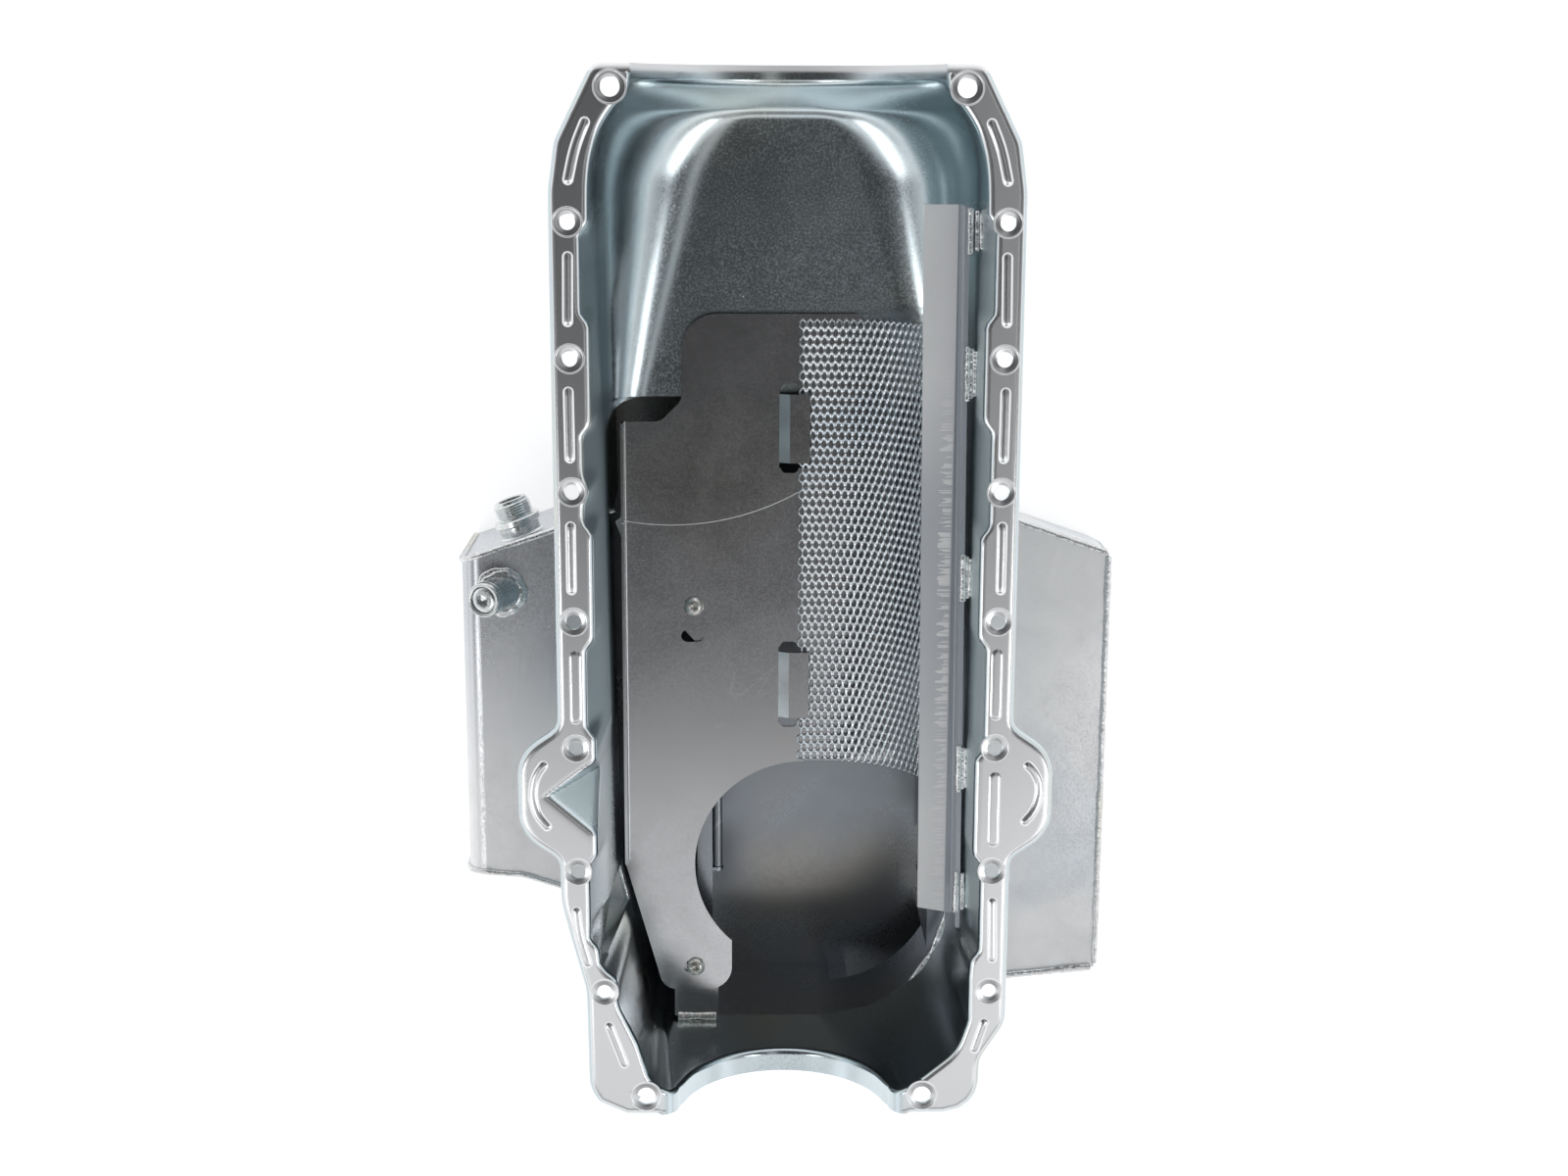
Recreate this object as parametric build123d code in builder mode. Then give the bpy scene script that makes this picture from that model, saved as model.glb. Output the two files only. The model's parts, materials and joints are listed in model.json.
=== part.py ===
"""Wet-sump engine oil pan: a pressed rail and trough, a welded sump with two kick-outs, and a windage tray.

Frame: millimetres, +Z up out of the pan, +Y towards the front of the engine, +X to its right-hand side
as seen from above. The origin is the middle of the six regular pairs of rail bolts, in the gasket face.
"""
import math
import os

from build123d import *

# Rail and its bolt pattern
bolt_spread = 225.4
bolt_pitch = 69.85
rail_bolt_hole = 8.0
corner_bolt_hole = 9.8
front_bolt_spread = 180.4
front_bolt_y = 242.0
rear_bolt_spread = 153.6
rear_bolt_y = -306.4
offset_bolt_inset = 13.5
rail_margin = 10.0
rail_sheet = 1.5
rim_height = 5.5
rim_bevel = 2.2
bead_height = 0.9
bead_width = 5.0
bead_length = 40.0

# Stamped trough and walls
wall_inset = 10.7
wall_depth = 105.0
trough_depth = 102.0
trough_corner = 30.0
front_wall_y = 244.0
front_edge_y = 252.0
front_arch_radius = 80.0
rear_wall_y = -305.0
rear_edge_y = -318.0
rear_arch_radius = 58.5
sump_mouth_y = 72.0
scallop_depth = 4.6
scallop_fade = 55.0
scallop_spans = [
    (-1, 148.0, 48.0),
    (1, 150.0, 52.0),
    (-1, 41.0, 54.0),
    (1, 41.0, 58.0),
    (-1, -72.5, 51.0),
    (1, -78.0, 64.0),
    (-1, -186.5, 47.0),
    (1, -198.5, 67.0),
]

# Ears and dipstick pocket
ear_y = -131.0
ear_reach = 22.0
ear_length = 75.0

# Fabricated sump
sump_sheet = 1.8
sump_depth = 190.0
left_kick_reach = 186.0
left_kick_top = 105.0
left_kick_front_y = -24.4
left_kick_rear_y = -212.0
left_kick_bend = 11.0
right_kick_reach = 195.5
right_kick_top = 148.0
right_kick_front_y = -27.5
right_kick_rear_y = -290.6
right_kick_bend = 10.0
kick_sweep = 19.0
window_header = 8.0

# Baffles and trap doors
baffle_sheet = 1.5
baffle_top = 118.0
baffle_flange = 9.0
left_baffle_x = -41.4
right_baffle_x = 88.0
door_y = -185.0
door_width = 62.0
door_floor_gap = 11.2
door_sheet = 1.2
door_pin = 2.6
door_play = 0.3
door_side_play = 0.5
window_margin = 6.0
lug_sheet = 2.0
pin_drop = 9.0

# Windage tray, screen and scraper
tray_top = 97.0
tray_sheet = 1.6
tray_left_x = -91.0
tray_lip_height = 9.0
tray_front_y = 119.0
tray_notch_y = 58.3
tray_notch_x = -57.8
tray_right_x = 64.0
tray_rear_y = -283.5
pickup_x = 12.0
pickup_y = -205.0
pickup_radius = 63.4
lobe_radius = 21.5
tray_screw_x = -51.2
mid_screw_y = -48.5
rear_screw_y = -269.0
spare_slot_y = -66.2
slot_length = 13.0
slot_width = 7.0
tab_length = 45.0
tab_front_y = 54.5
tab_rear_y = -95.0
tab_fold_x = -2.6
screen_sheet = 1.4
screen_front_y = 116.5
screen_rear_y = -141.0
screen_left_x = 8.4
screen_right_x = 77.6
screen_sweep = 65.0
screen_columns = 5
screen_rows = 10
screen_web = 2.4
scraper_level = 58.0
scraper_flange = 22.0
scraper_leg = 25.5
scraper_sheet = 2.5
scraper_turn = 0.45
scraper_outer_x = 96.2
scraper_front_y = 181.5
scraper_rear_y = -217.0
bracket_sheet = 2.5
bracket_front_y = 13.0
stitch_spans = [(181, 156), (108, 78), (-5, -32), (-113, -141), (-187, -212)]

# Fittings and fasteners
screw_thread = 6.3
screw_head = 11.0
screw_head_height = 3.4
socket_size = 4.0
nut_width = 11.0
nut_height = 5.5
bung_diameter = 20.0
bung_length = 24.0
bung_lean = 21.0
bung_inset = 24.0
bung_y = -42.1
plug_diameter = 15.5
port_inset = 33.6
port_z = -132.0
port_thread = 21.8
port_bore = 14.0
port_flange = 27.5
port_flange_thickness = 4.0
port_neck = 6.5
port_barrel = 11.0
drain_diameter = 26.0
drain_thread = 12.7
drain_z = -168.0
drain_boss = 6.0
washer_sheet = 1.5
weld_width = 5.0
fit_gap = 0.1

# Values that follow from the ones above
bolt_x = bolt_spread / 2
rail_x = bolt_x + rail_margin
wall_x = bolt_x - wall_inset
floor_top = -(sump_depth - sump_sheet)
bung_x = -left_kick_reach + bung_inset
port_x = -left_kick_reach + port_inset
offset_row_y = -3.5 * bolt_pitch
regular_rows = [(2.5 - row) * bolt_pitch for row in range(6)]
tray_under = -(tray_top + tray_sheet)
pin_z = -(baffle_top + pin_drop)
door_height = pin_z - floor_top - door_floor_gap
hinge_offset = door_play + door_sheet + door_play + door_pin / 2
tab_under = -tray_top + screen_sheet + fit_gap

os.makedirs("parts", exist_ok=True)


def ruled_prism(bottom, top):
    """A straight-sided solid between two closed sketches at different heights."""
    with BuildPart() as prism:
        add(bottom)
        add(top)
        loft(ruled=True)
    return prism.part


def tub_plan(level, shape, grow):
    """Plan of the space inside the rear walls, grown outwards by a wall's thickness."""
    corners, radii = shape
    with BuildSketch(Plane.XY.offset(level)) as plan:
        with BuildLine():
            FilletPolyline(*corners, radius=radii, close=True)
        make_face()
        if grow > 0:
            offset(amount=grow)
    return plan.sketch


top_corners = [
    (-wall_x, sump_mouth_y),
    (-wall_x, -215),
    (-wall_x + 21.5, -276),
    (-rear_arch_radius - 14, rear_wall_y),
    (wall_x + 1, rear_wall_y),
    (wall_x, sump_mouth_y),
]
top_shape = (top_corners, [20, 22, 30, 13, 48, 20])
edge_corners = [
    (-wall_x + 1.4, sump_mouth_y),
    (-wall_x + 7, -207),
    (-wall_x + 16.5, -248),
    (-rear_arch_radius - 17.5, rear_wall_y + 1.5),
    (wall_x - 5, rear_wall_y + 1.5),
    (wall_x, sump_mouth_y),
]
edge_shape = (edge_corners, [20, 15, 40, 13, 74, 20])


def trough_solid(grow):
    """The U-shaped front trough, from the half-round front arch back to the mouth of the sump."""
    stations = [
        (front_wall_y, front_arch_radius, front_arch_radius, front_arch_radius - 2),
        (front_wall_y - 6, front_arch_radius + 3.5, trough_depth - 11, front_arch_radius - 3),
        (front_wall_y - 14, wall_x - 11, trough_depth - 5.5, front_arch_radius - 8),
        (front_wall_y - 29, wall_x - 4, trough_depth - 3.5, front_arch_radius - 14),
        (front_wall_y - 49, wall_x - 0.4, trough_depth - 2.5, front_arch_radius - 22),
        (front_wall_y - 94, wall_x, trough_depth - 1.5, trough_corner + 18),
        (sump_mouth_y - 27, wall_x, trough_depth, trough_corner),
    ]
    with BuildPart() as trough:
        for y, half, depth, corner in stations:
            with BuildSketch(Plane.XZ.offset(-y)):
                with BuildLine():
                    FilletPolyline(
                        (-half - grow, 0),
                        (-half - grow, -depth - grow),
                        (half + grow, -depth - grow),
                        (half + grow, 0),
                        radius=corner + grow,
                    )
                    Line((half + grow, 0), (-half - grow, 0))
                make_face()
        loft(ruled=True)
    return trough.part


def scallops(grow):
    """Relief pockets pressed outwards at the top of the walls, given by side, middle and length."""
    shapes = Part()
    for side, middle, length in scallop_spans:
        span = length + 2 * grow
        deep = 12 + scallop_depth + grow
        centre = side * (wall_x + scallop_depth + grow - deep / 2)
        with BuildPart() as pocket:
            with BuildSketch(Plane.XY):
                with Locations((centre, middle)):
                    RectangleRounded(deep, span, 5)
            with BuildSketch(Plane.XY.offset(-scallop_fade)):
                with Locations((centre - side * (scallop_depth + 0.5), middle)):
                    RectangleRounded(deep, span - 16, 5)
            loft(ruled=True)
        shapes += pocket.part
    return shapes


def dipstick_pocket(grow):
    """The three-sided hollow in the left ear that leads the dipstick tube down into the pan."""
    mouth_x = -wall_x + 2
    apex = (-wall_x - 25.5 - 2 * grow, ear_y, 0.001)
    with BuildPart() as hollow:
        with BuildSketch(Plane.YZ.offset(mouth_x)) as mouth:
            with BuildLine():
                Polyline(
                    (ear_y + 20 + grow, 0),
                    (ear_y + 9, -34 - 1.6 * grow),
                    (ear_y - 23 - grow, 0),
                    close=True,
                )
            make_face()
        loft(sections=[mouth.sketch.faces()[0], Vertex(*apex)])
    return hollow.part


# Stamped pan body
left_edge = [
    (-front_bolt_spread / 2 - 9.5, front_edge_y + 2),
    (-rail_x + 3.5, 215),
    (-rail_x, 190),
    (-rail_x, ear_y + ear_length / 2),
    (-rail_x - ear_reach, ear_y + 22.5),
    (-rail_x - ear_reach, ear_y - 22.5),
    (-rail_x, ear_y - ear_length / 2),
    (-rail_x, -193),
    (-rear_bolt_spread / 2 - 32.5, -245),
    (-rear_bolt_spread / 2 - 31.5, rear_edge_y),
]
right_edge = [
    (rear_bolt_spread / 2 + 31.5, rear_edge_y),
    (rear_bolt_spread / 2 + 32, -286),
    (rail_x, -264),
    (rail_x, ear_y - ear_length / 2),
    (rail_x + ear_reach, ear_y - 22.5),
    (rail_x + ear_reach, ear_y + 22.5),
    (rail_x, ear_y + ear_length / 2),
    (rail_x, 190),
    (rail_x - 3.5, 215),
    (front_bolt_spread / 2 + 9.5, front_edge_y + 2),
]
edge_radii = [9, 15, 40, 9, 24, 24, 9, 50, 40, 22] + [20, 16, 18, 9, 24, 24, 9, 40, 15, 9]

small_holes = [(side * bolt_x, y) for y in regular_rows for side in (-1, 1)]
small_holes += [(-bolt_x + offset_bolt_inset, offset_row_y), (bolt_x, offset_row_y)]
large_holes = [(side * front_bolt_spread / 2, front_bolt_y) for side in (-1, 1)]
large_holes += [(side * rear_bolt_spread / 2, rear_bolt_y) for side in (-1, 1)]

bead_rows = [(regular_rows[row] + regular_rows[row + 1]) / 2 for row in range(3)]
beads = [(side * bolt_x, y, 90, bead_length) for y in bead_rows for side in (-1, 1)]
beads += [(side * (bolt_x - 5.4), 210, 90 + side * 17, bead_length - 2) for side in (-1, 1)]
beads += [(-bolt_x + 2.1, -212.5, 79.5, bead_length - 4), (bolt_x + 1, -209, 90, bead_length)]
beads += [(-93, -276.5, 109, 30), (bolt_x - 4.7, -271, 107, 22), (bolt_x, ear_y - 9, 90, bead_length)]


def rail_outline(level, shrink):
    """Outline of the gasket rail, pulled in by the thickness of its turned-down rim."""
    with BuildSketch(Plane.XY.offset(level)) as outline:
        with BuildLine():
            FilletPolyline(*left_edge, *right_edge, radius=edge_radii, close=True)
        make_face()
        if shrink > 0:
            offset(amount=-shrink)
    return outline.sketch


with BuildPart() as rim_hollow:
    add(rail_outline(-rim_height, rail_sheet))
    extrude(amount=rim_height - rail_sheet)
    chamfer(rim_hollow.faces().sort_by(Axis.Z)[-1].edges(), rim_bevel * 0.6)

with BuildPart() as pan_inside:
    add(trough_solid(0))
    add(ruled_prism(tub_plan(-wall_depth, edge_shape, 0), tub_plan(0, top_shape, 0)))
    add(scallops(0))
    add(dipstick_pocket(0))

with BuildPart() as pan_body:
    add(rail_outline(-rim_height, 0))
    extrude(amount=rim_height)
    chamfer(pan_body.faces().sort_by(Axis.Z)[-1].edges(), rim_bevel)
    add(rim_hollow.part, mode=Mode.SUBTRACT)
    add(trough_solid(rail_sheet))
    add(ruled_prism(tub_plan(-wall_depth, edge_shape, rail_sheet), tub_plan(0, top_shape, rail_sheet)))
    add(scallops(rail_sheet))
    add(dipstick_pocket(rail_sheet))
    # Half-round seats for the front and rear crankshaft seals
    with BuildSketch(Plane.XZ.offset(-front_wall_y)):
        Circle(front_arch_radius + rail_sheet)
        with Locations((0, front_arch_radius)):
            Rectangle(4 * front_arch_radius, 2 * front_arch_radius, mode=Mode.SUBTRACT)
    extrude(amount=front_wall_y - front_edge_y)
    with BuildSketch(Plane.XZ.offset(-rear_wall_y)):
        Circle(rear_arch_radius + rail_sheet)
        with Locations((0, rear_arch_radius)):
            Rectangle(4 * rear_arch_radius, 2 * rear_arch_radius, mode=Mode.SUBTRACT)
    extrude(amount=rear_wall_y - rear_edge_y)
    # Beads that stand up from the rail
    with BuildLine() as ear_lines:
        for side in (-1, 1):
            CenterArc((side * (bolt_x - 1.5), ear_y), 26, 45 - side * 90, 90)
    with BuildSketch():
        for x, y, angle, length in beads:
            with Locations(Location((x, y, 0), (0, 0, angle))):
                Rectangle(length, bead_width)
        for ear_line in ear_lines.edges():
            SlotArc(ear_line, bead_width)
    extrude(amount=bead_height, taper=35)
    # The hollow inside of the trough, the walls and the seal seats
    add(pan_inside.part, mode=Mode.SUBTRACT)
    with BuildSketch(Plane.XZ.offset(-front_wall_y + 2)):
        Circle(front_arch_radius)
    extrude(amount=front_wall_y - front_edge_y - 10, mode=Mode.SUBTRACT)
    with BuildSketch(Plane.XZ.offset(-rear_wall_y - 2)):
        Circle(rear_arch_radius)
    extrude(amount=rear_wall_y - rear_edge_y + 10, mode=Mode.SUBTRACT)
    with Locations(*small_holes):
        Hole(rail_bolt_hole / 2)
    with Locations(*large_holes):
        Hole(corner_bolt_hole / 2)
pan_body.part.label = "pan_body"


def sump_prism(bottom, top, grow):
    """The sump's plan below the pressed walls, as a straight prism between two heights."""
    with BuildPart() as prism:
        add(tub_plan(bottom, edge_shape, grow))
        extrude(amount=top - bottom)
    return prism.part


def front_line(x, reach, front_y):
    """Y of a kick-out's swept front face at a distance x from the centre line."""
    return front_y + (reach - x) * math.tan(math.radians(kick_sweep))


def kick_plan(points, bottom, top):
    """A block with a kick-out's plan between two heights."""
    with BuildPart() as block:
        with BuildSketch(Plane.XY.offset(bottom)):
            with BuildLine():
                Polyline(*points, close=True)
            make_face()
        extrude(amount=top - bottom)
    return block


end_sheet = sump_sheet * 1.12
left_root_x = 60.0
left_outer = [
    (-left_root_x, front_line(left_root_x, left_kick_reach, left_kick_front_y)),
    (-left_kick_reach, left_kick_front_y),
    (-left_kick_reach, left_kick_rear_y),
    (-left_kick_reach + 33, left_kick_rear_y - 2),
    (-left_kick_reach + 58, left_kick_rear_y - 10),
    (-left_root_x, left_kick_rear_y - 42),
]
left_front_band = left_outer[:2] + [(x, y - end_sheet) for x, y in left_outer[1::-1]]
left_rear_band = left_outer[2:] + [(x, y + end_sheet) for x, y in left_outer[:1:-1]]
left_core = [(x, y - end_sheet) for x, y in left_outer[:2]]
left_core += [(x, y + end_sheet) for x, y in left_outer[2:]]
right_root_x = 10.0
right_outer = [
    (right_root_x, front_line(right_root_x, right_kick_reach, right_kick_front_y)),
    (right_kick_reach, right_kick_front_y),
    (right_kick_reach, right_kick_rear_y),
    (wall_x - 2, rear_wall_y + 1.5 - sump_sheet + 0.6),
    (right_root_x, rear_wall_y + 1.5 - sump_sheet),
]
right_front_band = right_outer[:2] + [(x, y - end_sheet) for x, y in right_outer[1::-1]]
right_rear_band = right_outer[2:] + [(x, y + end_sheet) for x, y in right_outer[:1:-1]]
right_core = [(x, y - end_sheet) for x, y in right_outer[:2]]
right_core += [(x, y + end_sheet) for x, y in right_outer[2:]]

left_shell = kick_plan(left_outer, floor_top, -left_kick_top)
with left_shell:
    side_top = left_shell.edges().filter_by(Axis.Y).group_by(Axis.X)[0].sort_by(Axis.Z)[-1]
    fillet(side_top, left_kick_bend)

with BuildPart() as right_shell:
    with BuildSketch(Plane.XY.offset(floor_top)):
        with BuildLine():
            Polyline(
                (right_root_x, 90),
                (right_kick_reach - sump_sheet, 90),
                (right_kick_reach - sump_sheet, rear_wall_y - 20),
                (right_root_x, rear_wall_y - 20),
                close=True,
            )
        make_face()
    extrude(amount=-right_kick_top - floor_top)
    side_bottom = right_shell.edges().filter_by(Axis.Y).group_by(Axis.X)[-1].sort_by(Axis.Z)[0]
    fillet(side_bottom, right_kick_bend - sump_sheet)

# Sump floor, with the right kick-out's side folded up from the same sheet
with BuildPart() as sump_floor:
    add(kick_plan(right_outer, -sump_depth, -right_kick_top - sump_sheet).part)
    side_bottom = sump_floor.edges().filter_by(Axis.Y).group_by(Axis.X)[-1].sort_by(Axis.Z)[0]
    fillet(side_bottom, right_kick_bend)
    add(right_shell.part, mode=Mode.SUBTRACT)
    add(sump_prism(-sump_depth, floor_top, sump_sheet))
    add(kick_plan(left_outer, -sump_depth, floor_top).part)
sump_floor.part.label = "sump_floor"

# Sheet walls of the sump, open to the kick-outs
split_y = sump_mouth_y - 24
with BuildPart() as sump_ring:
    add(sump_prism(floor_top, -wall_depth, sump_sheet))
    add(sump_prism(floor_top, -wall_depth, 0), mode=Mode.SUBTRACT)

with BuildPart() as sump_front_wall:
    add(sump_ring.part)
    split(bisect_by=Plane.XZ.offset(-split_y), keep=Keep.BOTTOM)
sump_front_wall.part.label = "sump_front_wall"

left_window_top = -left_kick_top - sump_sheet - window_header
right_window_top = -right_kick_top - sump_sheet - window_header
with BuildPart() as sump_wall:
    add(sump_ring.part)
    split(bisect_by=Plane.XZ.offset(-split_y), keep=Keep.TOP)
    add(kick_plan(left_core, floor_top, left_window_top).part, mode=Mode.SUBTRACT)
    add(kick_plan(right_core, floor_top, right_window_top).part, mode=Mode.SUBTRACT)
sump_wall.part.label = "sump_wall"
sump_outside = sump_prism(floor_top, -wall_depth + 5, sump_sheet)

left_port_y = front_line(-port_x, left_kick_reach, left_kick_front_y)
port_plane = Plane(
    origin=(port_x, left_port_y, port_z),
    x_dir=(math.cos(math.radians(kick_sweep)), math.sin(math.radians(kick_sweep)), 0),
    z_dir=(-math.sin(math.radians(kick_sweep)), math.cos(math.radians(kick_sweep)), 0),
)
bung_plane = Plane(
    origin=(bung_x, bung_y, -left_kick_top),
    x_dir=(math.cos(math.radians(bung_lean)), 0, math.sin(math.radians(bung_lean))),
    z_dir=(-math.sin(math.radians(bung_lean)), 0, math.cos(math.radians(bung_lean))),
)
drain_plane = Plane(
    origin=(pickup_x, rear_wall_y + 1.5 - sump_sheet, drain_z),
    x_dir=(-1, 0, 0),
    z_dir=(0, -1, 0),
)

# Left kick-out: folded cover and two end plates
with BuildPart() as left_kickout_cover:
    add(left_shell.part)
    add(kick_plan(left_front_band, floor_top, -left_kick_top).part, mode=Mode.SUBTRACT)
    add(kick_plan(left_rear_band, floor_top, -left_kick_top).part, mode=Mode.SUBTRACT)
    with BuildSketch(Plane.XZ.offset(-left_kick_front_y - 80)):
        with BuildLine():
            FilletPolyline(
                (-left_kick_reach + sump_sheet, floor_top),
                (-left_kick_reach + sump_sheet, -left_kick_top - sump_sheet),
                (-left_root_x, -left_kick_top - sump_sheet),
                (-left_root_x, floor_top),
                radius=[left_kick_bend - sump_sheet, 0.01],
            )
            Line((-left_root_x, floor_top), (-left_kick_reach + sump_sheet, floor_top))
        make_face()
    extrude(amount=400, mode=Mode.SUBTRACT)
    add(sump_outside, mode=Mode.SUBTRACT)
    with BuildSketch(bung_plane.offset(-8)):
        Circle(plug_diameter / 2 - 1)
    extrude(amount=16, mode=Mode.SUBTRACT)
left_kickout_cover.part.label = "left_kickout_cover"

with BuildPart() as left_kickout_front:
    add(kick_plan(left_front_band, floor_top, -left_kick_top).part)
    add(left_shell.part, mode=Mode.INTERSECT)
    add(sump_outside, mode=Mode.SUBTRACT)
    with BuildSketch(port_plane.offset(-6)):
        Circle(port_bore / 2)
    extrude(amount=12, mode=Mode.SUBTRACT)
left_kickout_front.part.label = "left_kickout_front"

with BuildPart() as left_kickout_rear:
    add(kick_plan(left_rear_band, floor_top, -left_kick_top).part)
    add(left_shell.part, mode=Mode.INTERSECT)
    add(sump_outside, mode=Mode.SUBTRACT)
left_kickout_rear.part.label = "left_kickout_rear"

# Right kick-out: flat top plate over two end plates
with BuildPart() as right_kickout_top:
    add(kick_plan(right_outer, -right_kick_top - sump_sheet, -right_kick_top).part)
    add(sump_outside, mode=Mode.SUBTRACT)
right_kickout_top.part.label = "right_kickout_top"

with BuildPart() as right_kickout_front:
    add(kick_plan(right_front_band, floor_top, -right_kick_top - sump_sheet).part)
    add(right_shell.part, mode=Mode.INTERSECT)
    add(sump_outside, mode=Mode.SUBTRACT)
right_kickout_front.part.label = "right_kickout_front"

with BuildPart() as right_kickout_rear:
    add(kick_plan(right_rear_band, floor_top, -right_kick_top - sump_sheet).part)
    add(right_shell.part, mode=Mode.INTERSECT)
    add(sump_outside, mode=Mode.SUBTRACT)
right_kickout_rear.part.label = "right_kickout_rear"

# Weld beads of the kick-outs and of the seam round the sump
with BuildPart() as left_kickout_welds:
    for corner in (left_outer[1], left_outer[2]):
        root = left_outer[0] if corner == left_outer[1] else left_outer[3]
        run = Vector(root[0] - corner[0], root[1] - corner[1], 0)
        end_plane = Plane(origin=(*corner, floor_top), x_dir=run, z_dir=run.cross(Vector(0, 0, 1)))
        with BuildLine(end_plane) as seam:
            FilletPolyline(
                (0, 2),
                (0, -left_kick_top - floor_top),
                (run.length - (0 if corner == left_outer[2] else 26), -left_kick_top - floor_top),
                radius=left_kick_bend,
            )
        with BuildSketch(Plane(seam.line @ 0, z_dir=seam.line % 0)):
            RegularPolygon(weld_width / 2, 8)
        sweep(path=seam.line)
    add(left_shell.part, mode=Mode.SUBTRACT)
    add(kick_plan(left_outer, -sump_depth, floor_top).part, mode=Mode.SUBTRACT)
    add(sump_outside, mode=Mode.SUBTRACT)
left_kickout_welds.part.label = "left_kickout_welds"

with BuildPart() as right_kickout_welds:
    ends = [(wall_x + 8, front_line(wall_x + 8, right_kick_reach, right_kick_front_y)), right_outer[1]]
    ends += [right_outer[2], (wall_x + 8, rear_wall_y + 3)]
    for start, finish in zip(ends, ends[1:]):
        run = Vector(finish[0] - start[0], finish[1] - start[1], 0)
        with BuildSketch(Plane(origin=(*start, -right_kick_top), z_dir=run)):
            Circle(weld_width / 2)
        extrude(amount=run.length)
    with Locations((*right_outer[1], -right_kick_top), (*right_outer[2], -right_kick_top)):
        Sphere(weld_width / 2)
    add(kick_plan(right_outer, -sump_depth, -right_kick_top).part, mode=Mode.SUBTRACT)
    add(sump_outside, mode=Mode.SUBTRACT)
right_kickout_welds.part.label = "right_kickout_welds"

with BuildPart() as sump_seam_weld:
    with BuildLine() as seam:
        seam_plan = tub_plan(-wall_depth, edge_shape, sump_sheet)
        add(seam_plan.faces()[0].outer_wire())
    with BuildSketch(Plane(seam.line @ 0, z_dir=seam.line % 0)):
        RegularPolygon(sump_sheet * 0.9, 6)
    sweep(path=seam.line)
    add(pan_body.part, mode=Mode.SUBTRACT)
    add(sump_ring.part, mode=Mode.SUBTRACT)
    add(left_shell.part, mode=Mode.SUBTRACT)
    add(left_kickout_welds.part, mode=Mode.SUBTRACT)
sump_seam_weld.part.label = "sump_seam_weld"

# Two baffles with a flow window, and a trap door hinged over each window
sump_inside = sump_prism(floor_top, -wall_depth, 0)
hinge_length = door_width + 2 * (door_side_play + lug_sheet)


def baffle(face_x, side):
    """A baffle whose bay face is at face_x; side is -1 for the left one and 1 for the right one."""
    hinge_x = face_x - side * hinge_offset
    with BuildPart() as sheet:
        with BuildSketch(Plane.XZ.offset(-sump_mouth_y)):
            with BuildLine():
                Polyline(
                    (face_x, floor_top),
                    (face_x, -baffle_top),
                    (face_x + side * baffle_flange, -baffle_top),
                    (face_x + side * baffle_flange, -baffle_top - baffle_sheet),
                    (face_x + side * baffle_sheet, -baffle_top - baffle_sheet),
                    (face_x + side * baffle_sheet, floor_top),
                    close=True,
                )
            make_face()
        extrude(amount=sump_mouth_y - rear_wall_y + 10)
        with BuildSketch(Plane.YZ.offset(face_x - 5)):
            with Locations((door_y, pin_z - door_height / 2)):
                RectangleRounded(door_width - 2 * window_margin, door_height - 2 * window_margin, 4)
        extrude(amount=10, mode=Mode.SUBTRACT)
        add(sump_inside, mode=Mode.INTERSECT)
        for end in (-1, 1):
            lug_y = door_y + end * (door_width / 2 + door_side_play + lug_sheet / 2)
            with BuildSketch(Plane.XZ.offset(-lug_y - lug_sheet / 2)):
                with Locations((hinge_x, pin_z)):
                    Circle(door_pin / 2 + lug_sheet)
                with Locations(((hinge_x + face_x) / 2, pin_z)):
                    Rectangle(hinge_offset, door_pin + 2 * lug_sheet)
                with Locations((hinge_x, pin_z)):
                    Circle(door_pin / 2, mode=Mode.SUBTRACT)
            extrude(amount=lug_sheet)
    return sheet.part


def trap_door(face_x, side):
    """A door that hangs from its rolled knuckle, a play away from the bay face of its baffle."""
    hinge_x = face_x - side * hinge_offset
    knuckle = door_pin / 2 + door_play + door_sheet
    with BuildPart() as door:
        with BuildSketch(Plane.XZ.offset(-door_y - door_width / 2)):
            with Locations((hinge_x, pin_z)):
                Circle(knuckle)
            with Locations((face_x - side * (door_play + door_sheet / 2), pin_z - door_height / 2)):
                Rectangle(door_sheet, door_height)
            with Locations((hinge_x, pin_z)):
                Circle(door_pin / 2 + door_play, mode=Mode.SUBTRACT)
        extrude(amount=door_width)
    return door.part


with BuildPart() as left_baffle:
    add(baffle(left_baffle_x, -1))
left_baffle.part.label = "left_baffle"

with BuildPart() as right_baffle:
    add(baffle(right_baffle_x, 1))
right_baffle.part.label = "right_baffle"

with BuildPart() as left_trap_door:
    add(trap_door(left_baffle_x, -1))
left_trap_door.part.label = "left_trap_door"

with BuildPart() as right_trap_door:
    add(trap_door(right_baffle_x, 1))
right_trap_door.part.label = "right_trap_door"

with BuildPart() as left_door_pin:
    with BuildSketch(Plane.XZ.offset(-door_y - hinge_length / 2 - 1)):
        with Locations((left_baffle_x + hinge_offset, pin_z)):
            Circle(door_pin / 2)
    extrude(amount=hinge_length + 2)
left_door_pin.part.label = "left_door_pin"

with BuildPart() as right_door_pin:
    with BuildSketch(Plane.XZ.offset(-door_y - hinge_length / 2 - 1)):
        with Locations((right_baffle_x - hinge_offset, pin_z)):
            Circle(door_pin / 2)
    extrude(amount=hinge_length + 2)
right_door_pin.part.label = "right_door_pin"

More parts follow.
